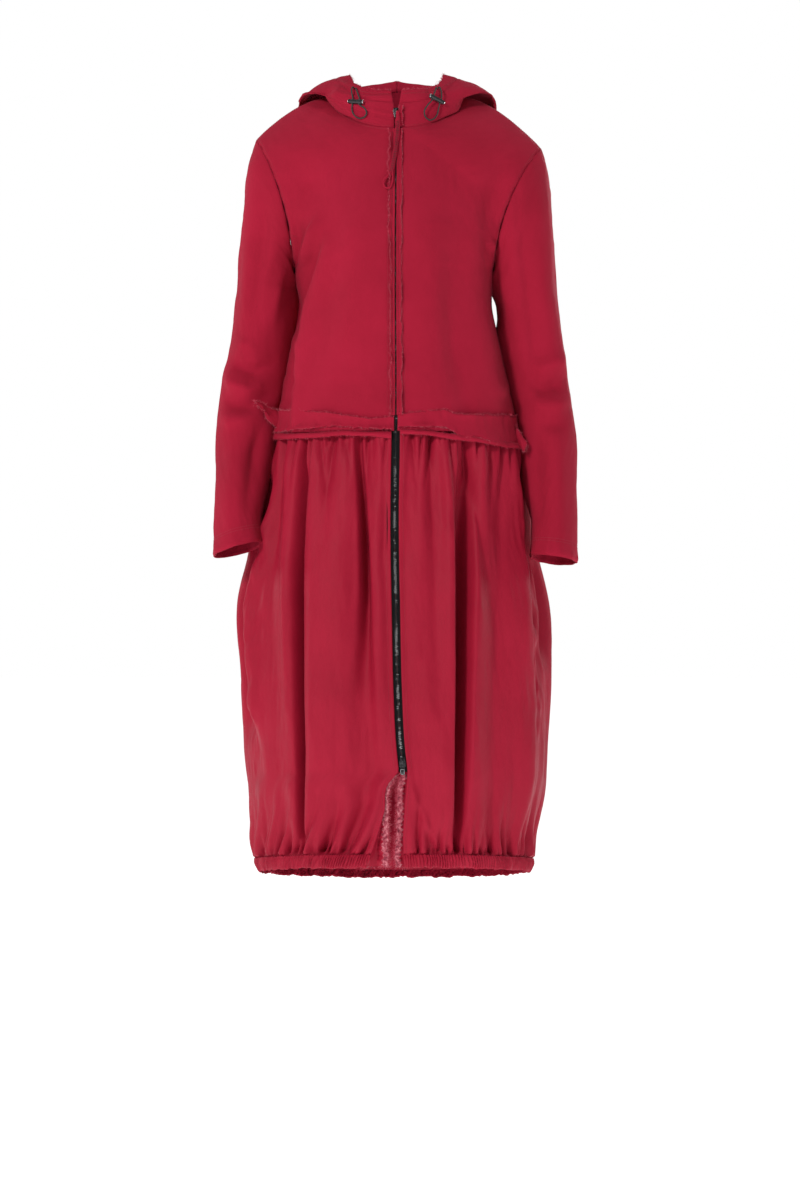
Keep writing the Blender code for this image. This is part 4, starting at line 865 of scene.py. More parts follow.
SKIRT_CREASES = (
    (3.0, ((303, 439, 2.5, 2.2, -6.0), (301, 462, 3.0, 2.5, -12.0), (300, 500, 4.0, 3.0, -20.0),
           (299, 560, 4.6, 3.2, -30.0), (299, 640, 5.0, 3.4, -34.0), (300, 720, 4.6, 3.2, -32.0),
           (300, 800, 3.8, 3.2, -24.0), (300, 850, 3.0, 3.0, -9.0))),
    (2.0, ((311, 470, 5, 7, 0.0), (312, 540, 6, 14, 6.0), (312, 640, 6, 20, 8.0), (312, 760, 6, 20, 7.0),
           (310, 840, 6, 12, 2.0))),
    (2.0, ((288, 440, 4, 6, 0.0), (286, 480, 4, 8, 6.0), (285, 560, 4, 9, 8.0), (286, 640, 5, 9, 7.0),
           (288, 720, 8, 9, 5.0), (288, 820, 8, 8, 3.0))),
    (3.0,
     ((356, 438, 2.6, 2.6, -6.0), (358, 460, 3, 3, -11.0), (362, 500, 4, 3, -19.0), (365, 545, 5, 3, -25.0),
           (367, 590, 6, 3, -22.0), (367, 640, 8, 4, -14.0), (366, 700, 13, 8, -7.0),
      (364, 780, 16, 12, -4.0))),
    (2.0, ((376, 450, 6, 8, 0.0), (378, 520, 6, 8, 5.0), (379, 600, 7, 8, 5.0), (380, 700, 10, 8, 3.0),
           (378, 770, 10, 6, 0.0))),
    (2.0, ((335, 470, 10, 12, 0.0), (336, 550, 14, 14, 5.0), (336, 650, 14, 18, 5.0), (334, 760, 16, 20, 4.0),
           (332, 840, 16, 18, 2.0))),
    (3.0, ((461, 438, 3.0, 10.0, -5.0), (464, 462, 4.0, 13.0, -14.0), (465, 500, 6.0, 10.0, -24.0),
           (462, 560, 5.5, 9.0, -32.0), (461, 640, 5.0, 7.5, -34.0), (461, 720, 4.5, 7.0, -34.0),
           (460, 790, 4.0, 6.0, -26.0), (460, 850, 3.5, 5.0, -9.0))),
    (2.0, ((450, 440, 8, 3, 0.0), (451, 480, 12, 3, 6.0), (452, 560, 16, 3, 9.0), (453, 660, 18, 3, 10.0),
           (452, 760, 16, 3, 9.0), (453, 846, 9, 3, 4.0))),
    (2.0, ((480, 450, 5, 10, 2.0), (478, 500, 5, 12, 7.0), (476, 580, 5, 16, 8.0), (474, 680, 5, 18, 8.0),
           (472, 780, 5, 14, 6.0), (470, 846, 4, 8, 2.0))),
    (2.0, ((500, 470, 10, 8, 0.0), (502, 540, 10, 8, -4.0), (500, 640, 12, 9, -4.0), (498, 740, 12, 9, -3.0),
           (496, 830, 10, 8, -2.0))),
    (2.0, ((508, 448, 6, 5, 2.0), (519, 490, 6, 5, 5.0), (525, 550, 8, 5, 7.0), (527, 620, 10, 5, 9.0),
           (528, 700, 11, 5, 9.0), (529, 780, 10, 5, 7.0), (528, 846, 6, 5, 2.0))),
    (2.0, ((424, 450, 8, 8, 0.0), (425, 520, 10, 10, 4.0), (424, 620, 12, 10, 3.0), (428, 720, 10, 10, 3.0))),
    (2.0, ((438, 445, 4, 4, -3.0), (441, 490, 5, 5, -6.0), (442, 540, 6, 6, -3.0), (441, 590, 6, 6, 0.0))),
    (2.0, ((408, 775, 4, 3, 0.0), (416, 800, 5, 3, 4.0), (428, 828, 6, 3, 5.0), (440, 850, 5, 3, 2.0))),
    (2.0, ((412, 790, 3, 4, 0.0), (421, 818, 3, 4, -4.0), (432, 845, 3, 4, -3.0))),
    (2.0, ((388, 770, 5, 5, 0.0), (379, 800, 6, 5, 4.0), (368, 826, 6, 5, 5.0), (356, 848, 5, 4, 2.0))),
    (2.0, ((372, 778, 5, 6, 0.0), (366, 806, 6, 5, -5.0), (357, 834, 5, 4, -4.0), (350, 852, 4, 4, -1.0))),
)
# Folds by place round the side (0 front edge, 1 side seam, 2 centre back): place at top and hem, width, mm,
# z range.
SIDE_FOLDS = {
    RIGHT: ((0.725, 0.700, 0.050, 15, -0.560, -0.900), (0.800, 0.835, 0.055, -26, -0.500, -0.900),
            (0.905, 0.930, 0.080, 7, -0.560, -1.000), (1.000, 1.020, 0.050, -13, -0.520, -1.000),
            (1.130, 1.150, 0.085, 9, -0.500, -1.030), (1.250, 1.255, 0.045, -14, -0.490, -0.990),
            (1.370, 1.360, 0.080, 8, -0.500, -1.040), (1.475, 1.480, 0.045, -16, -0.480, -1.030),
            (1.580, 1.570, 0.075, 8, -0.520, -0.980), (1.690, 1.700, 0.042, -15, -0.485, -0.960),
            (1.790, 1.800, 0.070, 8, -0.500, -1.040), (1.890, 1.880, 0.045, -13, -0.490, -1.020)),
    LEFT: ((0.760, 0.780, 0.045, -12, -0.500, -0.850), (0.880, 0.880, 0.060, -20, -0.520, -0.800),
           (0.960, 0.975, 0.050, 6, -0.560, -1.040), (1.040, 1.050, 0.045, -14, -0.500, -1.010),
           (1.160, 1.170, 0.085, 9, -0.500, -1.030), (1.290, 1.300, 0.048, -15, -0.480, -1.030),
           (1.400, 1.390, 0.070, 8, -0.520, -1.000), (1.500, 1.520, 0.045, -14, -0.490, -0.960),
           (1.620, 1.610, 0.085, 9, -0.500, -1.040), (1.740, 1.745, 0.043, -16, -0.480, -1.020),
           (1.850, 1.860, 0.070, 7, -0.520, -1.030), (1.960, 1.960, 0.045, -12, -0.500, -0.980)),
}


def sideways(points, closed=False):
    """How much of a panel's surface faces the front or the back, from 0 to 1: panels that meet under the arm
    face each other there, and a dip at that seam would open it."""
    return ease(0.15, 0.80, np.abs(grid_normals(points, closed)[..., 1]))


def pinch(away, depth=0.0011, width=0.0032):
    """Cloth dipping to its stitching near a seam."""
    return -depth * np.exp(-(away / width) ** 2)


def edge_distances(points):
    """Distance of every point of a grid from its first and last column and its first and last row."""
    u, v = lengths(points, 1), lengths(points, 0)
    return u, u[:, -1:] - u, v, v[-1:] - v


def with_folds(points, push, closed=False):
    return points + grid_normals(points, closed) * push[..., None]


# ---------------------------------------------------------------- jersey panels
def bodice_front(side):
    points = place(bodice_grid(side, True, 66, 56, 74), side)
    x, y = to_px(points)
    push = 3.4 * crease_field(x, y, BODICE_CREASES)
    u, v = lengths(points, 1), lengths(points, 0)
    push += 0.0012 * noise(u / 0.034 + 7, v / 0.065, 11 if side == LEFT else 12)
    push += 0.0004 * noise(u / 0.009, v / 0.013, 13)
    first, last, low, high = edge_distances(points)
    centre, seam = (first, last) if side == LEFT else (last, first)
    push *= ease(0.0, 0.013, seam) * ease(0.0, 0.010, high)
    push += pinch(seam) * sideways(points) + pinch(high, 0.0008) - 0.0010 * np.exp(-(low / 0.006) ** 2)
    pucker = np.exp(-(seam / 0.010)) * np.sin(v / 0.0048 + 3 * noise(v / 0.02, 0 * v, 5))
    push += 0.00045 * pucker
    push *= np.where(centre < 0.010, ease(0.0, 0.010, centre), 1.0)
    return with_folds(points, push)


# The back panel's cloth parts at the nape, round the neck: the column to the left of the gap and the nape's
# row.
BACK_SPLIT = (59, 73)


def bodice_back():
    halves = [bodice_grid(side, False, 60, 44, 62) for side in (LEFT, RIGHT)]
    points = np.concatenate([halves[0][:, ::-1], halves[1] * (-1, 1, 1)], axis=1)
    column, row = BACK_SPLIT
    neck = points[row:, column:column + 2].reshape(-1, 3)
    from_neck = np.min([np.linalg.norm(points - at, axis=-1) for at in neck], axis=0)
    x, y = to_back_px(points)
    push = 2.3 * crease_field(x, y, BACK_CREASES)
    u, v = lengths(points, 1), lengths(points, 0)
    push += 0.0012 * noise(u / 0.034, v / 0.065, 21) + 0.0004 * noise(u / 0.010, v / 0.014, 22)
    first, last, low, high = edge_distances(points)
    push *= ease(0.0, 0.013, first) * ease(0.0, 0.013,
                                           last) * ease(0.0, 0.010, high) * ease(0.0, 0.013, from_neck)
    push += (pinch(first) + pinch(last)) * sideways(points) + pinch(high, 0.0008) - 0.0010 * np.exp(-(low / 0.006) ** 2)
    push += 0.00045 * np.sin(v / 0.0048) * (np.exp(-first / 0.010) + np.exp(-last / 0.010))
    return points + parted_normals(points, *BACK_SPLIT) * push[..., None]


# Extra cloth hanging on the inner side of each sleeve, against the body: height and metres.
SLEEVE_SLACK = {
    RIGHT: ((-0.585, 0.0), (-0.530, 0.013), (-0.470, 0.023), (-0.420, 0.028), (-0.360, 0.029),
            (-0.310, 0.028),
            (-0.280, 0.026), (-0.255, 0.021), (-0.225, 0.010), (-0.195, 0.0)),
    LEFT: ((-0.590, 0.0), (-0.550, 0.010), (-0.500, 0.015), (-0.440, 0.014), (-0.380, 0.012), (-0.345, 0.010),
           (-0.326, 0.007), (-0.312, 0.0035), (-0.296, 0.003), (-0.282, 0.006), (-0.268, 0.012),
           (-0.245, 0.014),
           (-0.225, 0.007), (-0.200, 0.0)),
}


def sleeve(side):
    columns = 100
    points = sleeve_grid(side, columns, 36, 78)
    turns = np.arange(columns) * math.tau / columns
    slack = np.array(SLEEVE_SLACK[side])
    inner = np.exp(-((turns - 1.08 * math.pi) / (0.36 * math.pi)) ** 2)
    run = lengths(points, 0)
    hang = hermite(slack[:, 0], slack[:, 1], points[..., 2]) * ease(0.0, 0.022, run)
    points[..., 0] -= (hang + 0.0018 * ease(-0.16, -0.20, points[..., 2]) * ease(0.012, 0.0, run)) * inner
    points = place(points, side)
    u, v = lengths(points, 1), lengths(points, 0)
    ahead = ease(0.015, -0.020, points[..., 1] - np.mean(points[..., 1], axis=1, keepdims=True))
    x, y = to_px(points)
    facing = 0.30 + 0.70 * sideways(points, True)
    push = 2.6 * crease_field(x, y, SLEEVE_CREASES[side]) * ahead * facing
    behind = SLEEVE_BACK_CREASES[side]
    back_x, back_y = to_back_px(points)
    push += 2.6 * crease_field(back_x, back_y, behind) * (1 - ahead) * facing
    seed = 31 if side == LEFT else 32
    push += 0.0014 * noise(u / 0.030, v / 0.060, seed) + 0.0004 * noise(u / 0.010, v / 0.012, seed + 4)
    low = v[-1:] - v
    push *= ease(0.0, 0.014, v)
    push += (pinch(v, 0.0012) + 0.0005 * np.exp(-v / 0.012) * np.sin(u / 0.0045)) * sideways(points, True)
    push -= 0.0006 * np.exp(-((low - 0.022) / 0.0016) ** 2) + 0.0004 * np.exp(-((low - 0.0255) / 0.0012) ** 2)
    push += 0.0010 * ease(0.020, 0.004, low) - 0.0014 * ease(0.004, 0.0, low)
    push += 0.0007 * np.exp(-(low / 0.024) ** 2) * np.sin(u / 0.0052 + 2.5 * noise(u / 0.02, low * 40, seed + 8))
    return with_folds(points, push, True)


SLEEVE_BACK_CREASES = {
    RIGHT: (
        (2.0,
         ((548, 160, 10, 6, 0.0), (552, 230, 11, 6, 2.6), (560, 300, 11, 6, 2.2), (566, 350, 9, 6, 0.0))),
        (2.0, ((560, 372, 6, 6, 0.0), (550, 380, 7, 7, -2.4), (536, 384, 7, 7, -2.0), (524, 378, 6, 6, 0.0))),
        (2.0, ((566, 398, 7, 7, 0.8), (552, 402, 8, 8, 2.4), (538, 400, 7, 7, 0.0))),
        (2.0, ((545, 430, 9, 9, 0.0), (548, 480, 9, 10, -2.4), (552, 540, 9, 9, 0.0))),
    ),
    LEFT: (
        (2.0,
         ((254, 168, 6, 10, 0.0), (248, 240, 6, 11, 2.6), (240, 310, 6, 11, 2.0), (235, 350, 6, 9, 0.0))),
        (2.0, ((238, 374, 6, 6, 0.0), (250, 382, 7, 7, -2.6), (264, 384, 7, 7, -1.8), (276, 378, 6, 6, 0.0))),
        (2.0, ((232, 400, 7, 7, 0.8), (246, 404, 8, 8, 2.4), (262, 402, 7, 7, 0.0))),
        (2.0, ((254, 432, 9, 9, 0.0), (250, 485, 9, 10, -2.2), (246, 545, 9, 9, 0.0))),
    ),
}

HOOD_CREASES = (
    (2.0, ((458, 112, 4, 4, 0.0), (466, 104, 4, 5, -4.0), (478, 99, 4, 5, -4.6), (490, 102, 4, 4, -1.5))),
    (2.0, ((448, 120, 4, 4, 0.0), (462, 113, 4, 5, 3.0), (478, 107, 4, 5, 3.2), (492, 107, 4, 4, 1.0))),
    (2.0, ((452, 96, 5, 4, 0.0), (462, 90, 5, 4, 2.4), (474, 90, 5, 4, 1.6), (484, 96, 4, 4, 0.0))),
    (2.0, ((330, 99, 5, 5, 0.0), (338, 91, 5, 5, 1.8), (346, 84, 5, 5, 0.0))),
    (2.0, ((312, 100, 4, 4, 0.0), (324, 95, 5, 4, -2.2), (334, 90, 4, 4, 0.0))),
    (2.0, ((372, 100, 4, 4, 0.0), (374, 110, 5, 4, 1.0), (372, 120, 4, 4, 0.0))),
)


def hood(side):
    points = place(hood_grid(side, 100, 70), side)
    x, y = to_px(points)
    front = ease(0.030, -0.020, points[..., 1])
    push = 2.2 * crease_field(x, y, HOOD_CREASES) * front
    u, v = lengths(points, 1), lengths(points, 0)
    seed = 41 if side == LEFT else 42
    push += 0.0016 * noise(u / 0.040, v / 0.034, seed) + 0.0004 * noise(u / 0.012, v / 0.011, seed + 2)
    low, high = v, v[-1:] - v
    first, last, _, _ = edge_distances(points)
    nape = last if side == LEFT else first
    push *= ease(0.0, 0.014, low) * ease(0.0, 0.014, nape)
    tunnel = 0.0190
    push -= 0.0012 * np.exp(-((high - tunnel) / 0.0014) ** 2)
    push += 0.0008 * ease(tunnel, tunnel * 0.7, high) * ease(0.0, 0.004, high)
    ripple = noise(u / 0.011, high / 0.06, seed + 5) + 0.6 * noise(u / 0.0045, high / 0.06, seed + 6)
    push += 0.0013 * ripple * np.exp(-(high / 0.011) ** 2)
    push += pinch(nape, 0.0008, 0.004)
    points = with_folds(points, push)
    points[:, -1 if side == LEFT else 0, 0] = 0.0
    points[0] += NECK_SEAM_TUCK
    rag = 0.0011 * noise(u / 0.0035, 0 * u, seed + 9) + 0.0008 * noise(u / 0.0013, 0 * u, seed + 11)
    points[..., 2] += rag * ease(0.012, 0.0, high)
    return points


# ---------------------------------------------------------------- skirt panels
def fold_bumps(side, s, z):
    """Folds placed round the side (0 front edge, 1 side seam, 2 centre back)."""
    push = np.zeros(s.shape)
    for own in (RIGHT, LEFT):
        for top, low, half, depth, z_top, z_low in SIDE_FOLDS[own]:
            middle = top + (low - top) * (z - WAIST_Z) / (HEM_Z - WAIST_Z)
            centre = middle if own == side else 4.0 - middle
            away = np.abs(s - centre) / half
            reach = z_top - z_low
            into = ease(z_top + 0.02, z_top - 0.22 * reach, z)
            out = 1 - ease(z_low + 0.25 * reach, z_low, z)
            push += 0.001 * depth * np.exp(-away ** (2.6 if depth < 0 else 2.0)) * into * out
    return push


HEM_TUCK = 0.008


def skirt_levels(rows):
    """Levels from the hem casing up to the waist, closer together near both gathered ends."""
    t = np.linspace(0, 1, rows)
    low, top = HEM_Z + CASING_HEIGHT - HEM_TUCK, WAIST_Z - GAP
    return low + (top - low) * (t - 0.035 * np.sin(2 * math.pi * t))


def tucked(push, z):
    """The skirt's lower edge drawn in behind the casing that is sewn over it."""
    above = ease(HEM_Z + CASING_HEIGHT - 0.0015, HEM_Z + CASING_HEIGHT + 0.0030, z)
    return push * above - 0.0058 * (1 - above)


def skirt_base(side, steps, levels):
    """The skirt's surface on the +X side, its places round the side and the level each row was drawn at."""
    points = np.array([skirt_row(side, z, steps) for z in levels])
    return points, np.tile(steps, (len(levels), 1)), np.tile(levels[:, None], (1, len(steps)))


def loose_cloth(u, z, seed):
    """Gathers at the waist and the hem, the puff above the hem, and fine uneven waves."""
    from_waist = np.clip(WAIST_Z - z, 0, None)
    from_hem = np.clip(z - (HEM_Z + CASING_HEIGHT), 0, None)
    push = gathers(u, from_waist, seed, 0.0085, 0.0052, 0.034, 0.0014)
    push += gathers(u, from_waist, seed + 1, 0.0190, 0.0115, 0.110, 0.0027)
    push += gathers(u, from_waist, seed + 2, 0.0460, 0.0110, 0.300, 0.0056, 1.6)
    push += gathers(u, from_hem, seed + 3, 0.0090, 0.0064, 0.024, 0.0015)
    push += gathers(u, from_hem, seed + 4, 0.0160, 0.0180, 0.070, 0.0032)
    push += gathers(u, from_hem, seed + 5, 0.0420, 0.0170, 0.150, 0.0064, 1.6)
    push += 0.0040 * (1 - np.exp(-from_hem / 0.0060)) * ease(0.090, 0.020, from_hem)
    push += np.sin(np.clip(from_waist / 0.070, 0, 1) * math.pi) * 0.0025
    push += 0.0034 * noise(u / 0.040, z / 0.230, seed + 6) + 0.0015 * noise(u / 0.016, z / 0.075, seed + 7)
    return push + 0.00055 * noise(u / 0.0055 + z / 0.050, z / 0.022, seed + 12)


def skirt_front(side, columns=192, rows=118):
    levels = skirt_levels(rows)
    points, s, z = skirt_base(side, np.linspace(0, 1, columns), levels)
    u = lengths(points, 1)
    x, y = to_px(points * (SIGN[side], 1, 1))
    push = 1.15 * crease_field(x, y, SKIRT_CREASES) * ease(0.86, 0.70, s)
    seed = 50 if side == LEFT else 60
    crisp = np.exp(-((s - 0.73) / 0.08) ** 2) * ease(-0.56, -0.62, z) * ease(-0.93, -0.84, z)
    crinkle = 0.0042 * noise(u / 0.013 + z / 0.05, z / 0.030, seed + 8)
    crinkle += 0.0022 * noise(u / 0.006, z / 0.017 + u / 0.02, seed + 9)
    from_seam = u[:, -1:] - u
    push += (loose_cloth(u, z, seed) + crisp * crinkle) * ease(0.0, 0.010, from_seam)
    push += fold_bumps(side, s, z) + pinch(from_seam, 0.0008)
    push = tucked(push * ease(0.0, 0.012, u), z)
    outward = unit(grid_normals(points) * (1, 1, 0.15))
    return place(points + outward * push[..., None], side)


def skirt_back(columns=128, rows=82):
    levels = skirt_levels(rows)
    steps = np.linspace(1, 2, columns)
    left, s_left, z_left = skirt_base(LEFT, steps, levels)
    right, s_right, _ = skirt_base(RIGHT, steps, levels)
    points = np.concatenate([left, (right * (-1, 1, 1))[:, -2::-1]], axis=1)
    folds = np.concatenate([fold_bumps(LEFT, s_left, z_left), fold_bumps(RIGHT, s_right, z_left)[:, -2::-1]],
                           axis=1)
    z = np.tile(levels[:, None], (1, points.shape[1]))
    first, last, _, _ = edge_distances(points)
    push = loose_cloth(first, z, 70) * ease(0.0, 0.010, first) * ease(0.0, 0.010, last)
    push = tucked(push + folds + pinch(first, 0.0008) + pinch(last, 0.0008), z)
    outward = unit(grid_normals(points) * (1, 1, 0.15))
    return points + outward * push[..., None]


# ---------------------------------------------------------------- hem casing
def shirring(u, t, seed):
    """Fine upright ridges of cloth drawn up on elastic; t runs from the hem (0) to the casing's top (1)."""
    wander = 0.9 * noise(u / 0.016, 0 * u, seed) + 0.25 * noise(u / 0.004, 3 * t, seed + 1)
    ridge = np.cos(math.tau * (u / 0.0040 + wander))
    size = 0.00130 + 0.00060 * noise(u / 0.010, 2 * t, seed + 2)
    round_over = 0.0012 * np.sin(math.pi * np.clip(t, 0, 1)) ** 0.6 - 0.0016 - 0.0010 * ease(0.6, 1.0, t)
    return round_over + ridge * size * (0.45 + 0.55 * np.sin(math.pi * np.clip(t * 0.9 + 0.05, 0, 1))) \
        + 0.0010 * noise(u / 0.030, 0 * u, seed + 3)


def casing_points(side, steps, rows):
    levels = np.linspace(HEM_Z, HEM_Z + CASING_HEIGHT - 2 * GAP, rows)
    return np.array([skirt_row(side, z, steps) for z in levels])


def with_shirring(points, seed):
    u = lengths(points, 1)
    t = np.tile(np.linspace(0, 1, len(points))[:, None], (1, points.shape[1]))
    made = points + unit(grid_normals(points) * (1, 1, 0.0)) * shirring(u, t, seed)[..., None]
    uneven = 0.0012 * noise(u / 0.009, 0 * u, seed + 5) + 0.0010 * noise(u / 0.0035, 0 * u, seed + 6)
    made[..., 2] += uneven * (1 - 0.7 * t)
    return made


def casing_front(side, columns=520, rows=10):
    points = casing_points(side, np.linspace(0, 1, columns), rows)
    return place(with_shirring(points, 80 if side == LEFT else 84), side)


def casing_back(columns=400, rows=9):
    steps = np.linspace(1, 2, columns)
    left, right = (casing_points(side, steps, rows) for side in (LEFT, RIGHT))
    return with_shirring(np.concatenate([left, (right * (-1, 1, 1))[:, -2::-1]], axis=1), 88)


# ---------------------------------------------------------------- waist bands
# Top and bottom edges in photograph coordinates.
BAND_EDGES = {
    ("upper",
     RIGHT): (((262, 409), (278, 410.6), (300, 410.8), (322, 411.6), (345, 415.2), (371, 418.8),
               (391, 416.7)),
                       ((262, 433), (286, 431), (307, 428.6), (338, 426), (365, 427.8), (391, 429))),
    ("upper",
     LEFT): (((393, 417), (403, 413.7), (420, 411.6), (444, 409), (456, 414.3), (475, 414.9), (495, 414.7),
                       (520, 416)),
                      ((395, 426.5), (420, 426.6), (444, 427.3), (454, 433), (458, 437), (477, 438),
                       (489, 442),
                       (505, 446), (520, 443))),
    ("lower",
     RIGHT): (((262, 437), (271, 432), (287, 433.5), (318, 432), (345, 430.4), (370, 431.5), (391, 431)),
                       ((262, 440.5), (281, 439.6), (318, 438), (342, 435.5), (373, 436.4), (390, 439))),
    ("lower", LEFT): (((395, 429), (425, 430), (454, 434), (480, 438), (505, 442), (520, 443)),
                      ((395, 434), (425, 435), (454, 440), (480, 443), (505, 448), (520, 449))),
}


def band_levels(points, edges):
    """World heights of a band's bottom and top edges above a row of points."""
    scale = PX * (points[:, 1] - CAMERA[1]) / -CAMERA[1]
    x = CENTRE_PX[0] + (points[:, 0] - CAMERA[0]) / scale
    found = []
    for edge in edges[::-1]:
        edge = np.array(edge, float)
        found.append(CAMERA[2] + (CENTRE_PX[1] - np.interp(x, edge[:, 0], edge[:, 1])) * scale)
    return found


def band_shape(u, t, kind, seed):
    """How far a band's outer face stands off the cloth under it."""
    stand = GAP + BAND
    if kind == "upper":
        curl = 0.0030 * np.exp(-(t / 0.22) ** 2) * (0.7 + 0.8 * noise(u / 0.014, 0 * u, seed))
        curl += 0.0022 * np.exp(-((1 - t) / 0.18) ** 2) * (0.6 + 0.8 * noise(u / 0.018, 0 * u, seed + 1))
        ripple = 0.0009 * noise(u / 0.0070, 1.5 * t, seed + 2) + 0.0012 * noise(u / 0.022, t, seed + 3)
        return stand + np.clip(curl, -0.0004, None) + ripple * (0.4 + np.abs(t - 0.5)) + 0.0004
    roll = 0.0026 * np.sin(math.pi * np.clip(t, 0, 1)) ** 0.7
    return stand + roll * (1 + 0.35 * noise(u / 0.012, 0 * u,
                                            seed)) + 0.0005 * noise(u / 0.005, 2 * t, seed + 1)


def rag(u, seed, depth):
    """A torn edge's unevenness."""
    return depth * (noise(u / 0.0060, 0 * u, seed) + 0.7 * noise(u / 0.0021, 0 * u, seed + 1)
                    + 0.4 * noise(u / 0.0009, 0 * u, seed + 2))


def waist_band(kind, side, columns=230, rows=11):
    steps = np.linspace(0.0, 1.0, columns)
    at = (lambda z: bodice_ring(side, z, steps,
                                True)) if kind == "upper" else (lambda z: skirt_row(side, z, steps))
    first = at(-0.455 if kind == "upper" else -0.474)
    low, top = band_levels(first * (SIGN[side], 1, 1), BAND_EDGES[kind, side])
    return band_between(at, low, top, kind, 90 if side == LEFT else 94, rows, side)


def band_between(at, low, top, kind, seed, rows, side):
    levels = np.linspace(-0.490 if kind == "lower" else -0.4759, -0.438 if kind == "upper" else -0.4605, 24)
    sheet = np.array([at(max(z, -0.4759) if kind == "upper" else z) for z in levels])
    u = lengths(sheet, 1)[0]
    t = np.linspace(0, 1, rows)[:, None]
    low = low + rag(u, seed + 5, 0.0009 if kind == "upper" else 0.0003)
    top = top + rag(u, seed + 8, 0.0008 if kind == "upper" else 0.0003)
    z = low + (top - low) * t
    points = np.zeros((rows, len(u), 3))
    for column in range(len(u)):
        for axis in (0, 1):
            points[:, column, axis] = np.interp(z[:, column], levels, sheet[:, column, axis])
    points[..., 2] = z
    normals = unit(grid_normals(np.stack([sheet[0], sheet[-1]])) * (1, 1, 0))[0]
    stand = band_shape(np.tile(u, (rows, 1)), np.tile(t, (1, len(u))), kind, seed)
    return place(points + normals * stand[..., None], side)


def back_band(kind, columns=170, rows=9):
    steps = np.linspace(1, 2, columns)
    back = 2 - steps

    def at(z):
        if kind == "upper":
            halves = [bodice_ring(side, z, back, False) for side in (LEFT, RIGHT)]
        else:
            halves = [skirt_row(side, z, steps) for side in (LEFT, RIGHT)]
        return np.concatenate([halves[0], (halves[1] * (-1, 1, 1))[-2::-1]])

    wave = np.linspace(0, 9, 2 * columns - 1)
    if kind == "upper":
        low, top = -0.4705 + 0.003 * noise(wave, 0 * wave, 101), -0.4440 + 0.002 * noise(wave, 0 * wave, 102)
    else:
        low, top = -0.4840 + 0.001 * noise(wave, 0 * wave, 103), -0.4705 + 0.001 * noise(wave, 0 * wave, 104)
    return band_between(at, low, top, kind, 105, rows, LEFT)


# ---------------------------------------------------------------- centre front
def front_profile():
    """Heights up the centre front and how far forward the cloth lies there."""
    low = np.linspace(HEM_Z - 0.03, WAIST_Z - 0.002, 60)
    middle = np.linspace(WAIST_Z, UNDERARM_Z - 0.004, 24)
    steps = np.linspace(0, PIT_STEP, 24)
    collar = hood_rib(LEFT, 0.0, np.linspace(0.02, 0.75, 16))
    z = [low, middle, smooth(CENTRE_LINES, "front_z", steps, "step"), collar[:, 2]]
    y = [-smooth(SKIRT, "front", low), -smooth(BODICE, "front", middle),
         smooth(CENTRE_LINES, "front_y", steps, "step"), collar[:, 1]]
    return np.concatenate(z), np.concatenate(y)


FRONT_Z, FRONT_Y = front_profile()


def front_y(z):
    return np.interp(z, FRONT_Z, FRONT_Y)


def front_strip(z, x, stand):
    """Points on the centre front at heights z (rows) and world places x (columns), standing off it."""
    z = np.broadcast_to(z[:, None], x.shape)
    return np.stack([x, front_y(z) - stand, z], axis=-1)


def zip_tape(side, rows=210):
    z = np.linspace(ZIP_END_Z, ZIP_TOP_Z, rows)
    across = np.array([0.0005, 0.0018, 0.0022, 0.0030, 0.0048, 0.0066, 0.0085, 0.0105])
    ribs = np.array([0.0, 0.0003, 0.0003, 0.0, 0.0001, 0.0, 0.0001, 0.0])
    x = zip_x(side, z)[:, None] + across
    stand = np.tile(ribs - (JERSEY + GAP), (rows, 1)) + 0.00015 * noise(z * 40, 0 * z, 7)[:, None]
    return place(front_strip(z, x, stand), side)


def repeat(template, faces, places, turns):
    """Copies of one small shape: template points (x, y, z), a place for each and a sign for its x."""
    template, faces, places = np.asarray(template, float), np.asarray(faces), np.asarray(places, float)
    turned = template[None] * np.stack([turns, np.ones(len(turns)), np.ones(len(turns))], axis=-1)[:, None]
    points = (turned + places[:, None]).reshape(-1, 3)
    flipped = np.where(np.asarray(turns)[:, None, None] > 0, faces[None], faces[None][..., ::-1])
    return points, (flipped + (np.arange(len(places)) * len(template))[:, None, None]).reshape(-1, 4)


def tooth_shape():
    """One zip tooth: a bar with a swollen head, its edges rounded; it reaches across the zip's centre
    line."""
    plan = [(-0.00215, 0.00042), (-0.0010, 0.00046), (-0.0001, 0.00040), (0.0007, 0.00052)]
    rings = []
    for y, shrink in ((0.0012, 1.0), (-0.0007, 1.0), (-0.0011, 0.72)):
        upper = [(x * (0.94 if shrink < 1 else 1), y, half * shrink) for x, half in plan]
        lower = [(x, y, -z) for x, y, z in upper[::-1]]
        rings.append(upper + lower)
    count = len(rings[0])
    points = [point for ring in rings for point in ring]
    faces = [(a + k, a + (k + 1) % count, b + (k + 1) % count, b + k)
             for a, b in ((0, count), (count, 2 * count)) for k in range(count)]
    top = 2 * count
    faces += [(top + k, top + k + 1, top + count - 2 - k, top + count - 1 - k) for k in range(3)]
    return points, faces


# Photograph rows where the zip teeth are made bright silver as painted glints: the black chain catches the light where
# its wave turns it face-on.
GLINT_ROWS = ((468, 487), (512, 528), (552, 593), (628, 655), (684, 699), (731, 749))


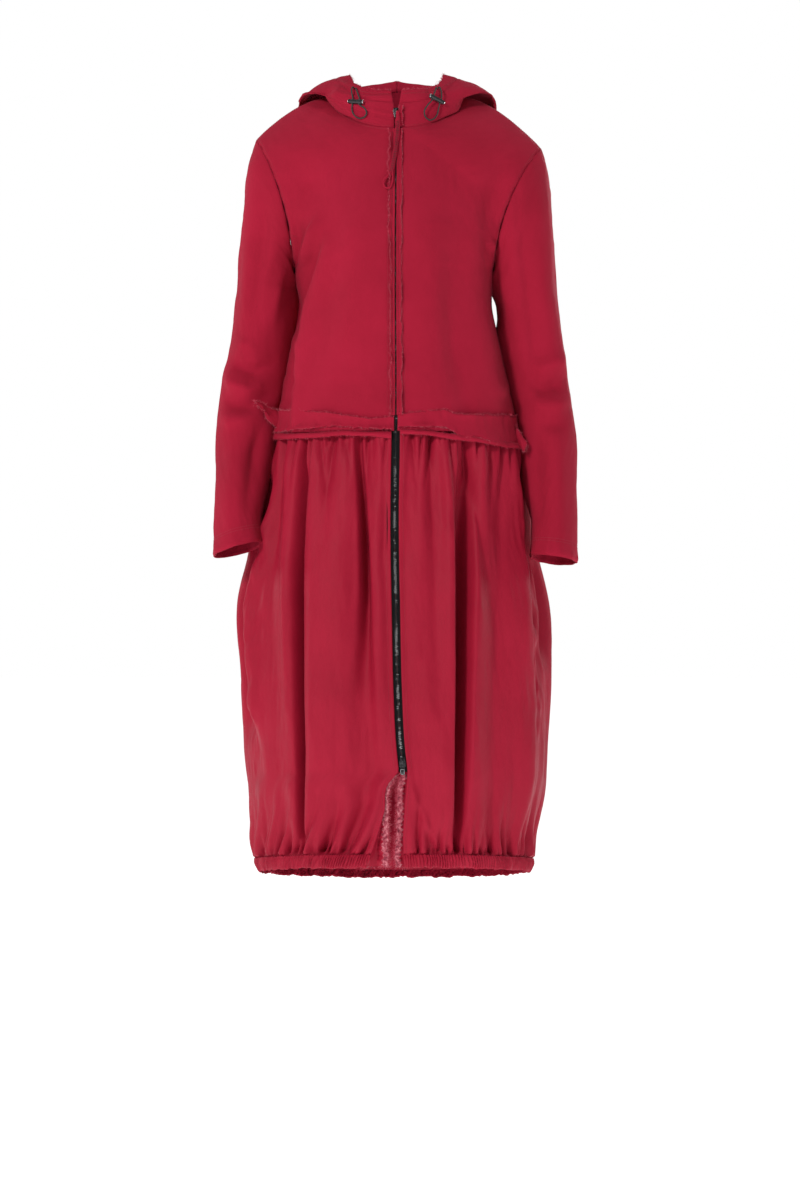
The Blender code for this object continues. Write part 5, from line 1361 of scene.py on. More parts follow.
def build_teeth():
    pitch = 0.00125
    z = np.arange(ZIP_END_Z + 0.004, ZIP_TOP_Z - 0.004, pitch)
    places = np.stack([zip_x(LEFT, z), front_y(z) + JERSEY + GAP + 0.00035, z], axis=-1)
    turns = np.where(np.arange(len(z)) % 2, 1.0, -1.0)
    rows = to_px(places)[1]
    # Teeth in those rows get the silver look as painted glints, and a random sixth of all teeth are switched either
    # way.
    shine = np.zeros(len(z), bool)
    for top, low in GLINT_ROWS:
        shine |= (rows > top) & (rows < low)
    shine ^= np.random.RandomState(5).uniform(0, 1, len(z)) < 0.16
    template, faces = tooth_shape()
    for name, chosen, look, nodes in (("zip_teeth", ~shine, "metal", ("zip_chain",)),
                                      ("zip_teeth_glinting", shine, "silver", ())):
        points, quads = repeat(template, faces, places[chosen], turns[chosen])
        link(name, mesh_from(name, points, quads, smooth_faces=False), LOOKS[look], "black_metal", "dress",
             nodes)


# ---------------------------------------------------------------- plates, lathes, arches
def finish_mesh(name, shape, look, slot, body, nodes, matrix=None):
    mesh = bpy.data.meshes.new(name)
    if matrix is not None:
        shape.transform(matrix)
    shape.to_mesh(mesh)
    shape.free()
    mesh.polygons.foreach_set("use_smooth", np.ones(len(mesh.polygons), bool))
    made = link(name, mesh, look, slot, body, nodes)
    mesh.set_sharp_from_angle(angle=math.radians(35))
    return made


def plate(name, outline, depth, bevel, look, slot="black_metal", body="dress", nodes=(), window=None,
          matrix=None):
    """A plate cut to an outline in x and z, from y = 0 to y = -depth, its edges rounded; it can have a
    window."""
    shape = bmesh.new()
    outer = [shape.verts.new((x, 0.0, z)) for x, z in outline]
    if window is None:
        shape.faces.new(outer)
    else:
        inner = [shape.verts.new((x, 0.0, z)) for x, z in window]
        count = len(outer)
        for k in range(count):
            shape.faces.new((outer[k], outer[(k + 1) % count], inner[(k + 1) % count], inner[k]))
    pushed = bmesh.ops.extrude_face_region(shape, geom=shape.faces[:])
    bmesh.ops.translate(shape, vec=(0, -depth, 0),
                        verts=[g for g in pushed["geom"] if isinstance(g, bmesh.types.BMVert)])
    bmesh.ops.recalc_face_normals(shape, faces=shape.faces[:])
    sharp = [e for e in shape.edges if len(e.link_faces) == 2 and e.calc_face_angle() > math.radians(50)]
    bmesh.ops.bevel(shape, geom=sharp, offset=bevel, segments=2, affect="EDGES", profile=0.6)
    return finish_mesh(name, shape, look, slot, body, nodes, matrix)


def rounded(width, height, corner, centre_z=0.0, points=5):
    """Outline of a rectangle with round corners."""
    found = []
    for turn, (side_x, side_z) in enumerate(((1, 1), (-1, 1), (-1, -1), (1, -1))):
        for angle in np.linspace(turn, turn + 1, points) * math.pi / 2:
            found.append((side_x * (width / 2 - corner) + corner * math.cos(angle),
                          centre_z + side_z * (height / 2 - corner) + corner * math.sin(angle)))
    return found


def lathe(name, profile, look, slot, matrix, body="dress", nodes=(), sides=32):
    """A turned piece: profile rows of distance along its X axis and radius."""
    shape = bmesh.new()
    rings = [[shape.verts.new((x, r * math.cos(a),
                               r * math.sin(a))) for a in np.arange(sides) * math.tau / sides]
             for x, r in profile]
    for a, b in zip(rings[:-1], rings[1:]):
        for k in range(sides):
            shape.faces.new((a[k], a[(k + 1) % sides], b[(k + 1) % sides], b[k]))
    shape.faces.new(rings[0])
    shape.faces.new(rings[-1])
    bmesh.ops.recalc_face_normals(shape, faces=shape.faces[:])
    return finish_mesh(name, shape, look, slot, body, nodes, matrix)


def bar(name, path, width, depth, look, slot="black_metal", body="dress", nodes=(), matrix=None, sides=14,
        wide=(1, 0, 0)):
    """A rounded bar along a path, width across and depth the other way."""
    path = np.asarray(path, float)
    along = unit(np.gradient(path, axis=0))
    across = unit(np.array(wide, float) - along * (along @ np.array(wide, float))[:, None])
    up = np.cross(across, along)
    angle = np.arange(sides) * math.tau / sides
    square = (np.abs(np.cos(angle)) ** 3 + np.abs(np.sin(angle)) ** 3) ** (-1 / 3)
    shape = bmesh.new()
    rings = [[shape.verts.new(centre + a * math.cos(t) * q * width / 2 + b * math.sin(t) * q * depth / 2)
              for t, q in zip(angle, square)] for centre, a, b in zip(path, across, up)]
    for a, b in zip(rings[:-1], rings[1:]):
        for k in range(sides):
            shape.faces.new((a[k], a[(k + 1) % sides], b[(k + 1) % sides], b[k]))
    shape.faces.new(rings[0])
    shape.faces.new(rings[-1])
    bmesh.ops.recalc_face_normals(shape, faces=shape.faces[:])
    return finish_mesh(name, shape, look, slot, body, nodes, matrix)


def frame_at(origin, up, out):
    """A matrix whose Z runs up the front and whose -Y stands out from it."""
    up, out = Vector(up).normalized(), Vector(out).normalized()
    side = up.cross(out).normalized()
    matrix = Matrix((side, -out, up)).transposed().to_4x4()
    matrix.translation = Vector(origin)
    return matrix


# ---------------------------------------------------------------- hardware
SLIDER_TOP = (-0.00087, -0.0856, -0.03021)
SLIDER_BOTTOM = (0.00755, -0.16907, -0.919)
SLIDER_DEPTH = 0.0020
PIVOT = (0.00755, -0.17227, -0.9208)
TAB_LENGTH = 0.0165


def slider(name, matrix, flipped):
    """A zip slider: shouldered body with side flanges, a neck to the chain and an arched bridge."""
    up = -1.0 if flipped else 1.0
    half = ((0.0030, 0.0070), (0.0040, 0.0062), (0.0042, 0.0042), (0.0042, 0.0010), (0.0034, -0.0030),
            (0.0029, -0.0060), (0.0022, -0.0070))
    outline = [(x, z * up) for x, z in half] + [(-x, z * up) for x, z in half[::-1]]
    if flipped:
        outline = outline[::-1]
    plate(name + "_body", outline, SLIDER_DEPTH, 0.00045, LOOKS["metal"], nodes=(name,), matrix=matrix)
    for sign in (-1, 1):
        rail = [(sign * x, 0.0002, z * up) for x, z in
                ((0.0034, 0.0058), (0.0037, 0.0040), (0.0037, 0.0010), (0.0030, -0.0030), (0.0025, -0.0058))]
        bar("%s_flange_%s" % (name, "ab"[sign > 0]), spline(rail, np.linspace(0, 1, 14)), 0.0009, 0.0022,
            LOOKS["metal"], matrix=matrix)
    arch = [(0, -0.0016, 0.0036), (0, -0.0032, 0.0036), (0, -0.0048, 0.0026), (0, -0.0051, 0.0),
            (0, -0.0048, -0.0026),
            (0, -0.0032, -0.0036), (0, -0.0016, -0.0036)]
    bar(name + "_bridge", spline(arch, np.linspace(0, 1, 26)), 0.0022, 0.0010, LOOKS["metal"], matrix=matrix)
    ridge = [(0, -0.0021, 0.0060 * up), (0, -0.0022, 0.0052 * up), (0, -0.0021, 0.0044 * up)]
    bar(name + "_diamond", ridge, 0.0018, 0.0006, LOOKS["metal"], matrix=matrix)


def build_hardware():
    level = SLIDER_TOP[2]
    rise = np.array([0.0, front_y(level + 0.006) - front_y(level - 0.006), 0.012])
    up = Vector(unit(rise))
    out = Vector((1, 0, 0)).cross(up) * -1
    out = out if out.y < 0 else -out
    slider("slider_top", frame_at(SLIDER_TOP, up, out), False)
    slider("slider_bottom", frame_at(SLIDER_BOTTOM, (0, 0, 1), (0, -1, 0)), True)
    tab_matrix = Matrix.Translation(PIVOT)
    length = TAB_LENGTH - 0.0006
    outline = rounded(0.0062, length, 0.0019, 0.0006 - length / 2)
    window = rounded(0.0034, 0.0050, 0.0012, -0.0036)
    plate("pull_tab_plate", outline, 0.0012, 0.0003, LOOKS["metal"], body="pull_tab", nodes=("pull_tab",),
          window=window, matrix=tab_matrix @ Matrix.Translation((0, 0.0006, 0)))
    rim = [(x * 0.80, -0.0007, z * 0.9 - 0.0008) for x, z in rounded(0.0062, 0.0072, 0.0016, -0.0114)]
    rim.append(rim[0])
    bar("pull_tab_rim", rim, 0.0005, 0.0005, LOOKS["silver"], body="pull_tab", matrix=tab_matrix, sides=8,
        wide=(0, 1, 0))


PULL_ROUTE = (
    (0.0008, -0.0910, -0.0372), (0.0012, -0.0935,
                                 -0.0440), (0.0004, -0.0955, -0.0600), (-0.0022, -0.1025, -0.0850),
    (-0.0062, -0.1080, -0.1050), (-0.0098, -0.1118, -0.1195),
)


def fabric_bar(name, path, width, depth, look, nodes=(), seed=1, sides=18):
    """A strip of doubled jersey with a soft, uneven, rounded section; its width lies across the front."""
    path = resample(path, 0.00065)
    along = unit(np.gradient(path, axis=0))
    across = unit(np.cross((0.0, 1.0, 0.0), along))
    up = np.cross(along, across)
    angle = np.arange(sides) * math.tau / sides
    t = np.linspace(0, 1, len(path))
    swell = 1 + 0.16 * noise(t * 14, 0 * t, seed) + 0.13 * np.cos(math.tau * t * round(len(path) / 4))
    swell *= ease(-0.04, 0.04, t) * ease(1.03, 0.97, t) * 0.9 + 0.1
    a = np.cos(angle)[None] * swell[:, None] * width / 2
    b = np.sin(angle)[None] * (0.8 + 0.2 * swell[:, None]) * depth / 2
    b = b + 0.00035 * noise(np.tile(t[:, None] * 60, (1, sides)), np.tile(angle, (len(t), 1)), seed + 2)
    points = path[:, None] + across[:, None] * a[..., None] + up[:, None] * b[..., None]
    rows, columns = points.shape[:2]
    index = np.arange(rows * columns).reshape(rows, columns)
    nxt = np.roll(index, -1, axis=1)
    quads = np.stack([index[:-1], nxt[:-1], nxt[1:], index[1:]], axis=-1).reshape(-1, 4)
    half = columns // 2
    caps = []
    for ring, flip in ((index[0], False), (index[-1], True)):
        for k in range(half - 1):
            cap = (ring[k], ring[k + 1], ring[columns - 2 - k], ring[columns - 1 - k])
            caps.append(cap if flip else cap[::-1])
    wide = np.concatenate([points, points[:, :1]], axis=1)
    u, v = lengths(wide, 1), lengths(wide, 0)

    def corner(values):
        return np.stack([values[:-1, :-1], values[:-1, 1:], values[1:, 1:], values[1:, :-1]],
                        axis=-1).reshape(-1, 4)

    uv = np.concatenate([np.stack([corner(u), corner(v)], axis=-1), np.zeros((len(caps), 4, 2))])
    mesh = mesh_from(name, points.reshape(-1, 3), np.concatenate([quads[:, ::-1], np.array(caps)]), uv)
    return link(name, mesh, look, "jersey", "dress", nodes), path, across, up


def build_pull():
    made, path, across, up = fabric_bar("zip_pull_strip", PULL_ROUTE, 0.0070, 0.0030, LOOKS["jersey"],
                                        ("zip_pull_loop",), 3)
    curl = [(390.6, 166), (392.4, 172), (392.6, 180), (390.4, 186.5), (386.4, 188), (383.8, 184.5),
            (384.4, 179.5),
            (387.6, 176), (391.2, 171)]
    loop = np.array([from_px(x, y, front_y(from_px(x, y, -0.115)[2]) - 0.0046 - 0.0001 * k)
                     for k, (x, y) in enumerate(curl)])
    ring, *_ = fabric_bar("zip_pull_end", loop, 0.0031, 0.0026, LOOKS["jersey"], (), 9, 14)
    over = [(0.0010, -0.0908, -0.0280), (0.0010, -0.0912, -0.0310), (0.0010, -0.0915, -0.0350),
            (0.0012, -0.0925, -0.0400)]
    knot, *_ = fabric_bar("zip_pull_head", over, 0.0052, 0.0026, LOOKS["jersey"], (), 15, 14)
    crossing = []
    for k in range(10, len(path) - 6, 4):
        face = path[k] - up[k] * -0.0017 if up[k][1] < 0 else path[k] - up[k] * 0.0017
        lean = across[k] * 0.0021
        drop = unit(path[k + 1] - path[k - 1]) * 0.0008
        t = np.linspace(-1, 1, 5)[:, None]
        crossing.append(face + lean * t + drop * t + unit(face - path[k]) * 0.0002 * (1 - t * t))
    thread_piece("zip_pull_stitches", crossing, 0.00036, "tape_thread", sides=5)
    declare(made, "placket_strip_right")


CORD_ROUTES = {
    RIGHT: ((0.0594, -0.0524, 0.0082), (0.0612, -0.0562, 0.0098), (0.0628, -0.0630, 0.0040),
            (0.0609, -0.0695, -0.0085),
            (0.0615, -0.0693, -0.0158), (0.0621, -0.0700, -0.0220), (0.0606, -0.0716, -0.0285),
            (0.0562, -0.0737, -0.0340), (0.0505, -0.0768, -0.0365), (0.0445, -0.0802, -0.0348),
            (0.0418, -0.0820, -0.0295), (0.0450, -0.0800, -0.0225), (0.0521, -0.0749, -0.0168),
            (0.0515, -0.0752, -0.0100), (0.0545, -0.0690, 0.0000), (0.0570, -0.0606, 0.0075),
            (0.0566, -0.0546, 0.0082)),
    LEFT: ((0.0566, -0.0546, 0.0076), (0.0588, -0.0588, 0.0090), (0.0614, -0.0650, 0.0020),
           (0.0612, -0.0691, -0.0082),
           (0.0590, -0.0703, -0.0152), (0.0572, -0.0722, -0.0230), (0.0556, -0.0738, -0.0305),
           (0.0512, -0.0768, -0.0368), (0.0450, -0.0800, -0.0392), (0.0392, -0.0826, -0.0350),
           (0.0378, -0.0836, -0.0270), (0.0425, -0.0808, -0.0185), (0.0486, -0.0768, -0.0109),
           (0.0508, -0.0754, -0.0036), (0.0532, -0.0690, 0.0040), (0.0546, -0.0622, 0.0084),
           (0.0538, -0.0568, 0.0076)),
}
CORD_DIAMETER = 0.0020
Lock = namedtuple("Lock", "centre axis hole")
LOCKS = {
    RIGHT: Lock((0.0565, -0.0722, -0.0128), (0.850, 0.510, 0.120), 0.0055),
    LEFT: Lock((0.0549, -0.0729, -0.0095), (0.800, 0.485, -0.358), 0.0065),
}
LOCK_PROFILE = (
    (-0.0125, 0.0012), (-0.0124, 0.0021), (-0.0120,
                                           0.0027), (-0.0112, 0.0030), (-0.0102, 0.0030), (-0.0100, 0.0026),
    (-0.0096, 0.0026), (-0.0094, 0.0030), (-0.0060,
                                           0.0031), (-0.0010, 0.0031), (-0.0008, 0.0028), (-0.0004, 0.0028),
    (-0.0002, 0.0031), (0.0050, 0.0031), (0.0094,
                                          0.0030), (0.0096, 0.0026), (0.0100, 0.0026), (0.0102, 0.0030),
    (0.0112, 0.0030), (0.0120, 0.0027), (0.0124, 0.0021), (0.0125, 0.0012),
)


def build_cord(side):
    """One loop of round elastic out of the hood's tunnel and back into it, through its cord lock."""
    flip = np.array([SIGN[side], 1, 1])
    points = resample(np.array(CORD_ROUTES[side]) * flip, 0.0012)
    curve = bpy.data.curves.new("drawcord_%s_loop" % side, "CURVE")
    curve.dimensions = "3D"
    curve.bevel_depth = CORD_DIAMETER / 2
    curve.bevel_resolution = 4
    curve.use_fill_caps = True
    line = curve.splines.new("POLY")
    line.points.add(len(points) - 1)
    line.points.foreach_set("co", np.concatenate([points, np.ones((len(points), 1))], axis=1).ravel())
    line.use_smooth = True
    curve.materials.append(LOOKS["elastic"])
    cord = bpy.data.objects.new(curve.name, curve)
    bpy.context.scene.collection.objects.link(cord)
    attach(cord, "dress")
    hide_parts("drawcord_" + side)
    lock = LOCKS[side]
    axis = Vector(np.array(lock.axis) * flip).normalized()
    up = (Vector((0, 0, 1)) - axis * axis.z).normalized()
    matrix = Matrix((axis, up.cross(axis), up)).transposed().to_4x4()
    matrix.translation = Vector(np.array(lock.centre) * flip)
    name = "cord_lock_" + side
    barrel = lathe(name + "_barrel", LOCK_PROFILE, LOOKS["plastic"], "black_plastic", matrix, nodes=(name,))
    for number, end in enumerate((-1, 1)):
        ring = [(end * x, r) for x,
                r in ((0.01255, 0.0010), (0.01262, 0.0020), (0.01230, 0.0027), (0.01180, 0.0029),
                                          (0.01160, 0.0027))]
        lathe("%s_end_%s" % (name, "ab"[number]), ring, LOOKS["silver"], "black_metal", matrix)
    for number, along in enumerate((-lock.hole, lock.hole)):
        for way in (-1, 1):
            turn = np.linspace(0, math.tau, 21)
            circle = np.stack([along + 0.00150 * np.cos(turn), 0.00150 * np.sin(turn),
                               0 * turn + way * 0.0029], axis=-1)
            bar("%s_collar_%s%s" % (name, "ab"[number], "lu"[way > 0]), circle, 0.0006, 0.0006,
                              LOOKS["plastic"], "black_plastic", matrix=matrix, sides=8, wide=(0, 0, 1))


# ---------------------------------------------------------------- seams, stitching and fraying
def surface_path(points, rows, columns):
    """A path over a panel at fractions of its rows and columns, and the way the panel faces there."""
    normals = grid_normals(points)
    at_row = np.asarray(rows) * (points.shape[0] - 1)
    at_column = np.asarray(columns) * (points.shape[1] - 1)
    row = np.clip(at_row.astype(int), 0, points.shape[0] - 2)
    column = np.clip(at_column.astype(int), 0, points.shape[1] - 2)
    s, t = (at_row - row)[:, None], (at_column - column)[:, None]

    def read(grid):
        low = grid[row, column] * (1 - t) + grid[row, column + 1] * t
        high = grid[row + 1, column] * (1 - t) + grid[row + 1, column + 1] * t
        return low * (1 - s) + high * s

    return read(points), unit(read(normals))


def seam(found, points, rows, columns, *stitch):
    """Stitching over a panel at fractions of its rows and columns; either may be one number."""
    rows, columns = np.broadcast_arrays(rows, columns)
    found.extend(stitches(*surface_path(points, rows, columns), *stitch))


def inset_fraction(points, axis, distance, last):
    """The fraction of a panel's columns (axis 1) or rows (axis 0) that lies a distance in from an edge."""
    run = lengths(points, axis)
    middle = run[len(run) // 2] if axis == 1 else run[:, run.shape[1] // 2]
    at = middle[-1] - distance if last else distance
    return np.interp(at, middle, np.linspace(0, 1, len(middle)))


def end_of(points, axis, last):
    """The last or first row (axis 0) or column (axis 1) of a panel, the way out of it and the way it
    faces."""
    outer, inner = (-1, -2) if last else (0, 1)
    edge = np.take(points, outer, axis)
    return edge, unit(edge - np.take(points, inner, axis)), np.take(grid_normals(points), outer, axis)


# ---------------------------------------------------------------- the garment
def declare(piece, rests_on):
    """Takes a cloth piece and the names of the pieces it rests on, and keeps nothing of them."""
    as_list(rests_on)


def build_bodice():
    made = {}
    seams = []
    for side in (RIGHT, LEFT):
        points = bodice_front(side)
        name = "bodice_front_" + side
        made[name] = shell(name + "_cloth", points, JERSEY, LOOKS["jersey"], "jersey", (name,))
        on_left = side == LEFT
        under = FRONT_UNDERARM
        seam_column = inset_fraction(points, 1, 0.0050, on_left)
        seam(seams, points, np.linspace(under + 0.01, 0.995, 90), seam_column)
        low_dart, high_dart = ((0.60, 0.975), (0.585, 0.915)) if on_left else ((0.615, 0.025), (0.60, 0.085))
        seam(seams, points, np.linspace(low_dart[0], high_dart[0], 12),
             np.linspace(low_dart[1], high_dart[1], 12))
        neck_row = inset_fraction(points, 0, 0.0045, True)
        seam(seams, points, neck_row, np.linspace(0.03, 0.97, 60))
        centre = inset_fraction(points, 1, 0.0082, not on_left)
        seam(seams, points, np.linspace(0.06, 0.985, 120), centre)
        for start in (0.0, 0.012):
            seam(seams, points, np.linspace(0.05, under, 70),
                 inset_fraction(points, 1, 0.004 + start, on_left))
    points = bodice_back()
    made["bodice_back"] = shell("bodice_back_cloth", points, JERSEY, LOOKS["jersey"], "jersey",
                                ("bodice_back",),
                                split=BACK_SPLIT)
    under = BACK_UNDERARM
    for last in (False, True):
        column = inset_fraction(points, 1, 0.0050, last)
        seam(seams, points, np.linspace(under + 0.01, 0.995, 90), column)
    for start, end in ((0.03, 0.47), (0.53, 0.97)):
        seam(seams, points, inset_fraction(points[:, :60], 0, 0.0045, True), np.linspace(start, end, 55))
    stitched = thread_piece("bodice_stitches", seams, THREAD, "thread")
    declare(made["bodice_front_right"], "bodice_back_cloth")
    declare(made["bodice_front_left"], "bodice_back_cloth")
    declare(made["bodice_back"],
            ("bodice_front_right_cloth", "bodice_front_left_cloth"))


CUFF_STITCHING = (0.0215, 0.0252)


def build_sleeve(side):
    points = sleeve(side)
    name = "sleeve_" + side
    made = shell(name + "_cloth", points, JERSEY, LOOKS["jersey"], "jersey", (name,), closed=True)
    seams = []
    closed = np.concatenate([points, points[:, :1]], axis=1)
    normals = grid_normals(points, True)
    normals = np.concatenate([normals, normals[:, :1]], axis=1)
    run = lengths(closed, 0)
    for distance in CUFF_STITCHING:
        path, out = [], []
        for column in range(closed.shape[1]):
            at = np.interp(run[-1, column] - distance, run[:, column], np.arange(len(run)))
            low = int(at)
            share = at - low
            path.append(closed[low, column] * (1 - share) + closed[low + 1, column] * share)
            out.append(normals[low, column])
        seams.extend(stitches(np.array(path), np.array(out)))
    extra = thread_piece(name + "_stitches", seams, THREAD, "thread")
    declare(made, ("bodice_front_%s_cloth" % side, "bodice_back_cloth"))


def build_hood():
    seams, loose = [], []
    made = {}
    for side in (RIGHT, LEFT):
        points = hood(side)
        name = "hood_" + side
        made[side] = shell(name + "_cloth", points, JERSEY, LOOKS["jersey"], "jersey", (name,))
        for distance in (0.0190, 0.0222):
            row = inset_fraction(points, 0, distance, True)
            seam(seams, points, row, np.linspace(0.01, 0.985, 160))
        seam(seams, points, inset_fraction(points, 0, 0.0050, False), np.linspace(0.01, 0.985, 160))
        edge, away, out = end_of(points, 0, True)
        fray(loose, edge, away, out, 120 if side == LEFT else 121, 1150, 0.0042)
        fray(loose, edge - out * JERSEY * 0.8, away, -out, 122 if side == LEFT else 123, 500, 0.0032)
        for turn in (0.0, 0.9):
            hole = BUTTONHOLES[side]
            rows = np.linspace(hole[1] - 0.012, hole[1] + 0.012, 9)
            seam(seams, points, rows, hole[0] + (turn - 0.45) * 0.014, 0.0009, 0.8, 0.0004)
    stitched = thread_piece("hood_stitches", seams, THREAD, "thread")
    frayed = fray_piece("hood_fray", loose, 0.00017)
    declare(made[RIGHT], ("bodice_front_right_cloth", "bodice_back_cloth"))
    declare(made[LEFT], ("bodice_front_left_cloth", "bodice_back_cloth"))


# Where each cord leaves the hood: fractions of its columns and rows.
BUTTONHOLES = {RIGHT: (0.70, 0.84), LEFT: (0.30, 0.84)}


def build_skirt():
    seams = []
    made = {}
    for side in (RIGHT, LEFT):
        points = skirt_front(side)
        name = "skirt_front_" + side
        made[side] = shell(name + "_cloth", points, WOVEN, LOOKS["woven"], "woven_cloth", (name,))
        last = side == RIGHT
        column = inset_fraction(points, 1, 0.0062, last)
        wave = 0.0012 * np.sin(np.linspace(0, 24, 140))
        seam(seams, points, np.linspace(0.25, 0.992, 140), column + wave)
        seam(seams, points, inset_fraction(points, 0, 0.0022, False), np.linspace(0.01, 0.99, 200))
        edge_column = inset_fraction(points, 1, 0.0040, last)
        seam(seams, points, np.linspace(0.01, 0.235, 50), edge_column)
    back = skirt_back()
    made["back"] = shell("skirt_back_cloth", back, WOVEN, LOOKS["woven"], "woven_cloth", ("skirt_back",))
    seam(seams, back, inset_fraction(back, 0, 0.0022, False), np.linspace(0.01, 0.99, 400))
    stitched = thread_piece("skirt_stitches", seams, FINE_THREAD, "thread", "woven_cloth")
    for side in (RIGHT, LEFT):
        casing = shell("hem_casing_%s_cloth" % side, casing_front(side), CASING_CLOTH, LOOKS["woven"],
                       "woven_cloth",
                       ("hem_casing_" + side,))
        declare(made[side], "waist_band_upper_%s_strip" % side)
        declare(casing, made[side].name)
    casing = shell("hem_casing_back_cloth", casing_back(), CASING_CLOTH, LOOKS["woven"], "woven_cloth",
                   ("hem_casing_back",))
    declare(made["back"], "waist_band_upper_back_strip")
    declare(casing, made["back"].name)


def flap(name, top, low, depths, seed, rows=16, columns=26):
    """A loose frayed end of a waist band, from two edges in photograph coordinates."""
    t = np.linspace(0, 1, columns)
    upper, lower = (spline(np.array(edge, float), t) for edge in (top, low))
    share = np.linspace(0, 1, rows)[:, None, None]
    px = lower[None] * (1 - share) + upper[None] * share
    depth = np.interp(t, np.linspace(0, 1, len(depths)), depths)[None] + 0 * share[..., 0]
    u, v = np.meshgrid(t * 4, share[:, 0, 0] * 3)
    depth = depth + 0.0020 * noise(u + 5, v + 3, seed) + 0.0035 * np.abs(share[..., 0] - 0.5)
    points = from_px(px[..., 0] + 0.5 * noise(u * 4, v * 4, seed + 1),
                     px[..., 1] + 0.6 * noise(u * 5, v * 3, seed + 2),
                     depth)
    return shell(name, points, BAND, LOOKS["jersey"], "jersey"), points


def build_bands():
    loose = []
    for kind in ("upper", "lower"):
        for side in (RIGHT, LEFT):
            points = waist_band(kind, side)
            name = "waist_band_%s_%s" % (kind, side)
            strip = shell(name + "_strip", points, BAND, LOOKS["jersey"], "jersey", (name,))
            declare(strip,
                    "bodice_front_%s_cloth" % side)
            density, length = (850, 0.0042) if kind == "upper" else (350, 0.0026)
            for last in (True, False):
                fray(loose, *end_of(points, 0, last), 130 + len(loose) % 17, density, length)
        points = back_band(kind)
        name = "waist_band_%s_back" % kind
        strip = shell(name + "_strip", points, BAND, LOOKS["jersey"], "jersey", (name,))
        declare(strip, "bodice_back_cloth")
        for last in (True, False):
            fray(loose, *end_of(points, 0, last), 150 + last, 600, 0.0036)
    tips = (
        ("waist_band_end_right", ((254.5, 400.5), (262, 403), (270, 408), (280, 411)),
         ((257, 404), (262.5, 410), (268, 420), (280, 431)), (-0.066, -0.060, -0.050, -0.040)),
        ("waist_band_end_left", ((508, 417), (514, 424), (520, 433), (527, 443)),
         ((507, 447), (512, 446), (518, 446), (524, 452)), (-0.044, -0.048, -0.054, -0.060)),
    )
    for number, (name, top, low, depths) in enumerate(tips):
        strip, points = flap(name, top, low, depths, 160 + number)
        declare(strip, "waist_band_upper_%s_strip" % name.rsplit("_", 1)[1])
        for last in (False, True):
            fray(loose, *end_of(points, 1, last), 170 + number, 2600, 0.0060)
        for last in (True, False):
            fray(loose, *end_of(points, 0, last), 175 + number, 1500, 0.0045)
    fray_piece("band_fray", loose, 0.00018)


def build_placket():
    loose, seams = [], []
    rows = 210
    z = np.linspace(-0.4485, NECK_PIT_Z - 0.0015, rows)
    slim = ease(-0.225, -0.200, z)
    zipped = zip_x(LEFT, z)
    across = np.linspace(0, 1, 11)
    u = np.tile(z[:, None], (1, 11))
    v = np.tile(across[None], (rows, 1))
    for side, seed in ((RIGHT, 180), (LEFT, 190)):
        rag_out = rag(z, seed + 4, 0.0009) + 0.0008 * noise(z / 0.015, 0 * z, seed + 8)
        if side == RIGHT:
            free, near = zipped - 0.0070 - 0.0026 * slim + rag_out, zipped - 0.0010 + 0.3 * rag(z, seed + 7, 0.0005)
            x = free[:, None] + (near - free)[:, None] * across
            from_free = across
        else:
            free, near = zipped + 0.0080 + rag_out, zipped + 0.0010 + 0.3 * rag(z, seed + 7, 0.0005)
            x = near[:, None] + (free - near)[:, None] * across
            from_free = across[::-1]
        stand = GAP + BAND + 0.0006 + 0.0026 * np.exp(-(from_free / 0.30) ** 2)[None] \
            * (0.8 + noise(u / 0.010, v, seed)) \
            + 0.0006 * noise(u / 0.020, v, seed + 1) - 0.0010 * np.exp(-((from_free - 0.6) / 0.10) ** 2)[None]
        points = front_strip(z, x, np.clip(stand, GAP + BAND, None))
        name = "placket_strip_" + side
        strip = shell(name, points, BAND, LOOKS["jersey"], "jersey",
                      ("placket_strip",) if side == RIGHT else ())
        fray(loose, *end_of(points, 1, side == LEFT), seed, 2200, 0.0036 if side == RIGHT else 0.0024)
        seam(seams, points, np.linspace(0.01, 0.99, 130), 0.5)
        extras = []
        if side == LEFT:
            extras = [fray_piece("placket_fray", loose, 0.00020),
                      thread_piece("placket_stitches", seams, FINE_THREAD, "tape_thread")]
        declare(strip, "bodice_front_%s_cloth" % side)


def collar_strip():
    """The short raw strip that carries on up the collar beside the zip."""
    z = np.linspace(NECK_PIT_Z + 0.0020, -0.0190, 40)
    across = np.linspace(0, 1, 7)
    near = zip_x(LEFT, z) + 0.0040 + rag(z, 231, 0.0004)
    x = near[:, None] + (0.0046 + rag(z, 234, 0.0005))[:, None] * across
    stand = 0.0030 + 0.0012 * np.abs(2 * across - 1)[None] + 0.0005 * noise(x / 0.004, z[:, None] / 0.006 + 0 * x, 237)
    points = front_strip(z, x, stand)
    loose = []
    for last in (False, True):
        fray(loose, *end_of(points, 1, last), 238, 2200, 0.0024)
    strip = shell("collar_strip", points, BAND, LOOKS["jersey"], "jersey")
    extra = fray_piece("collar_fray", loose, 0.00020)
    declare(strip, "hood_left_cloth")


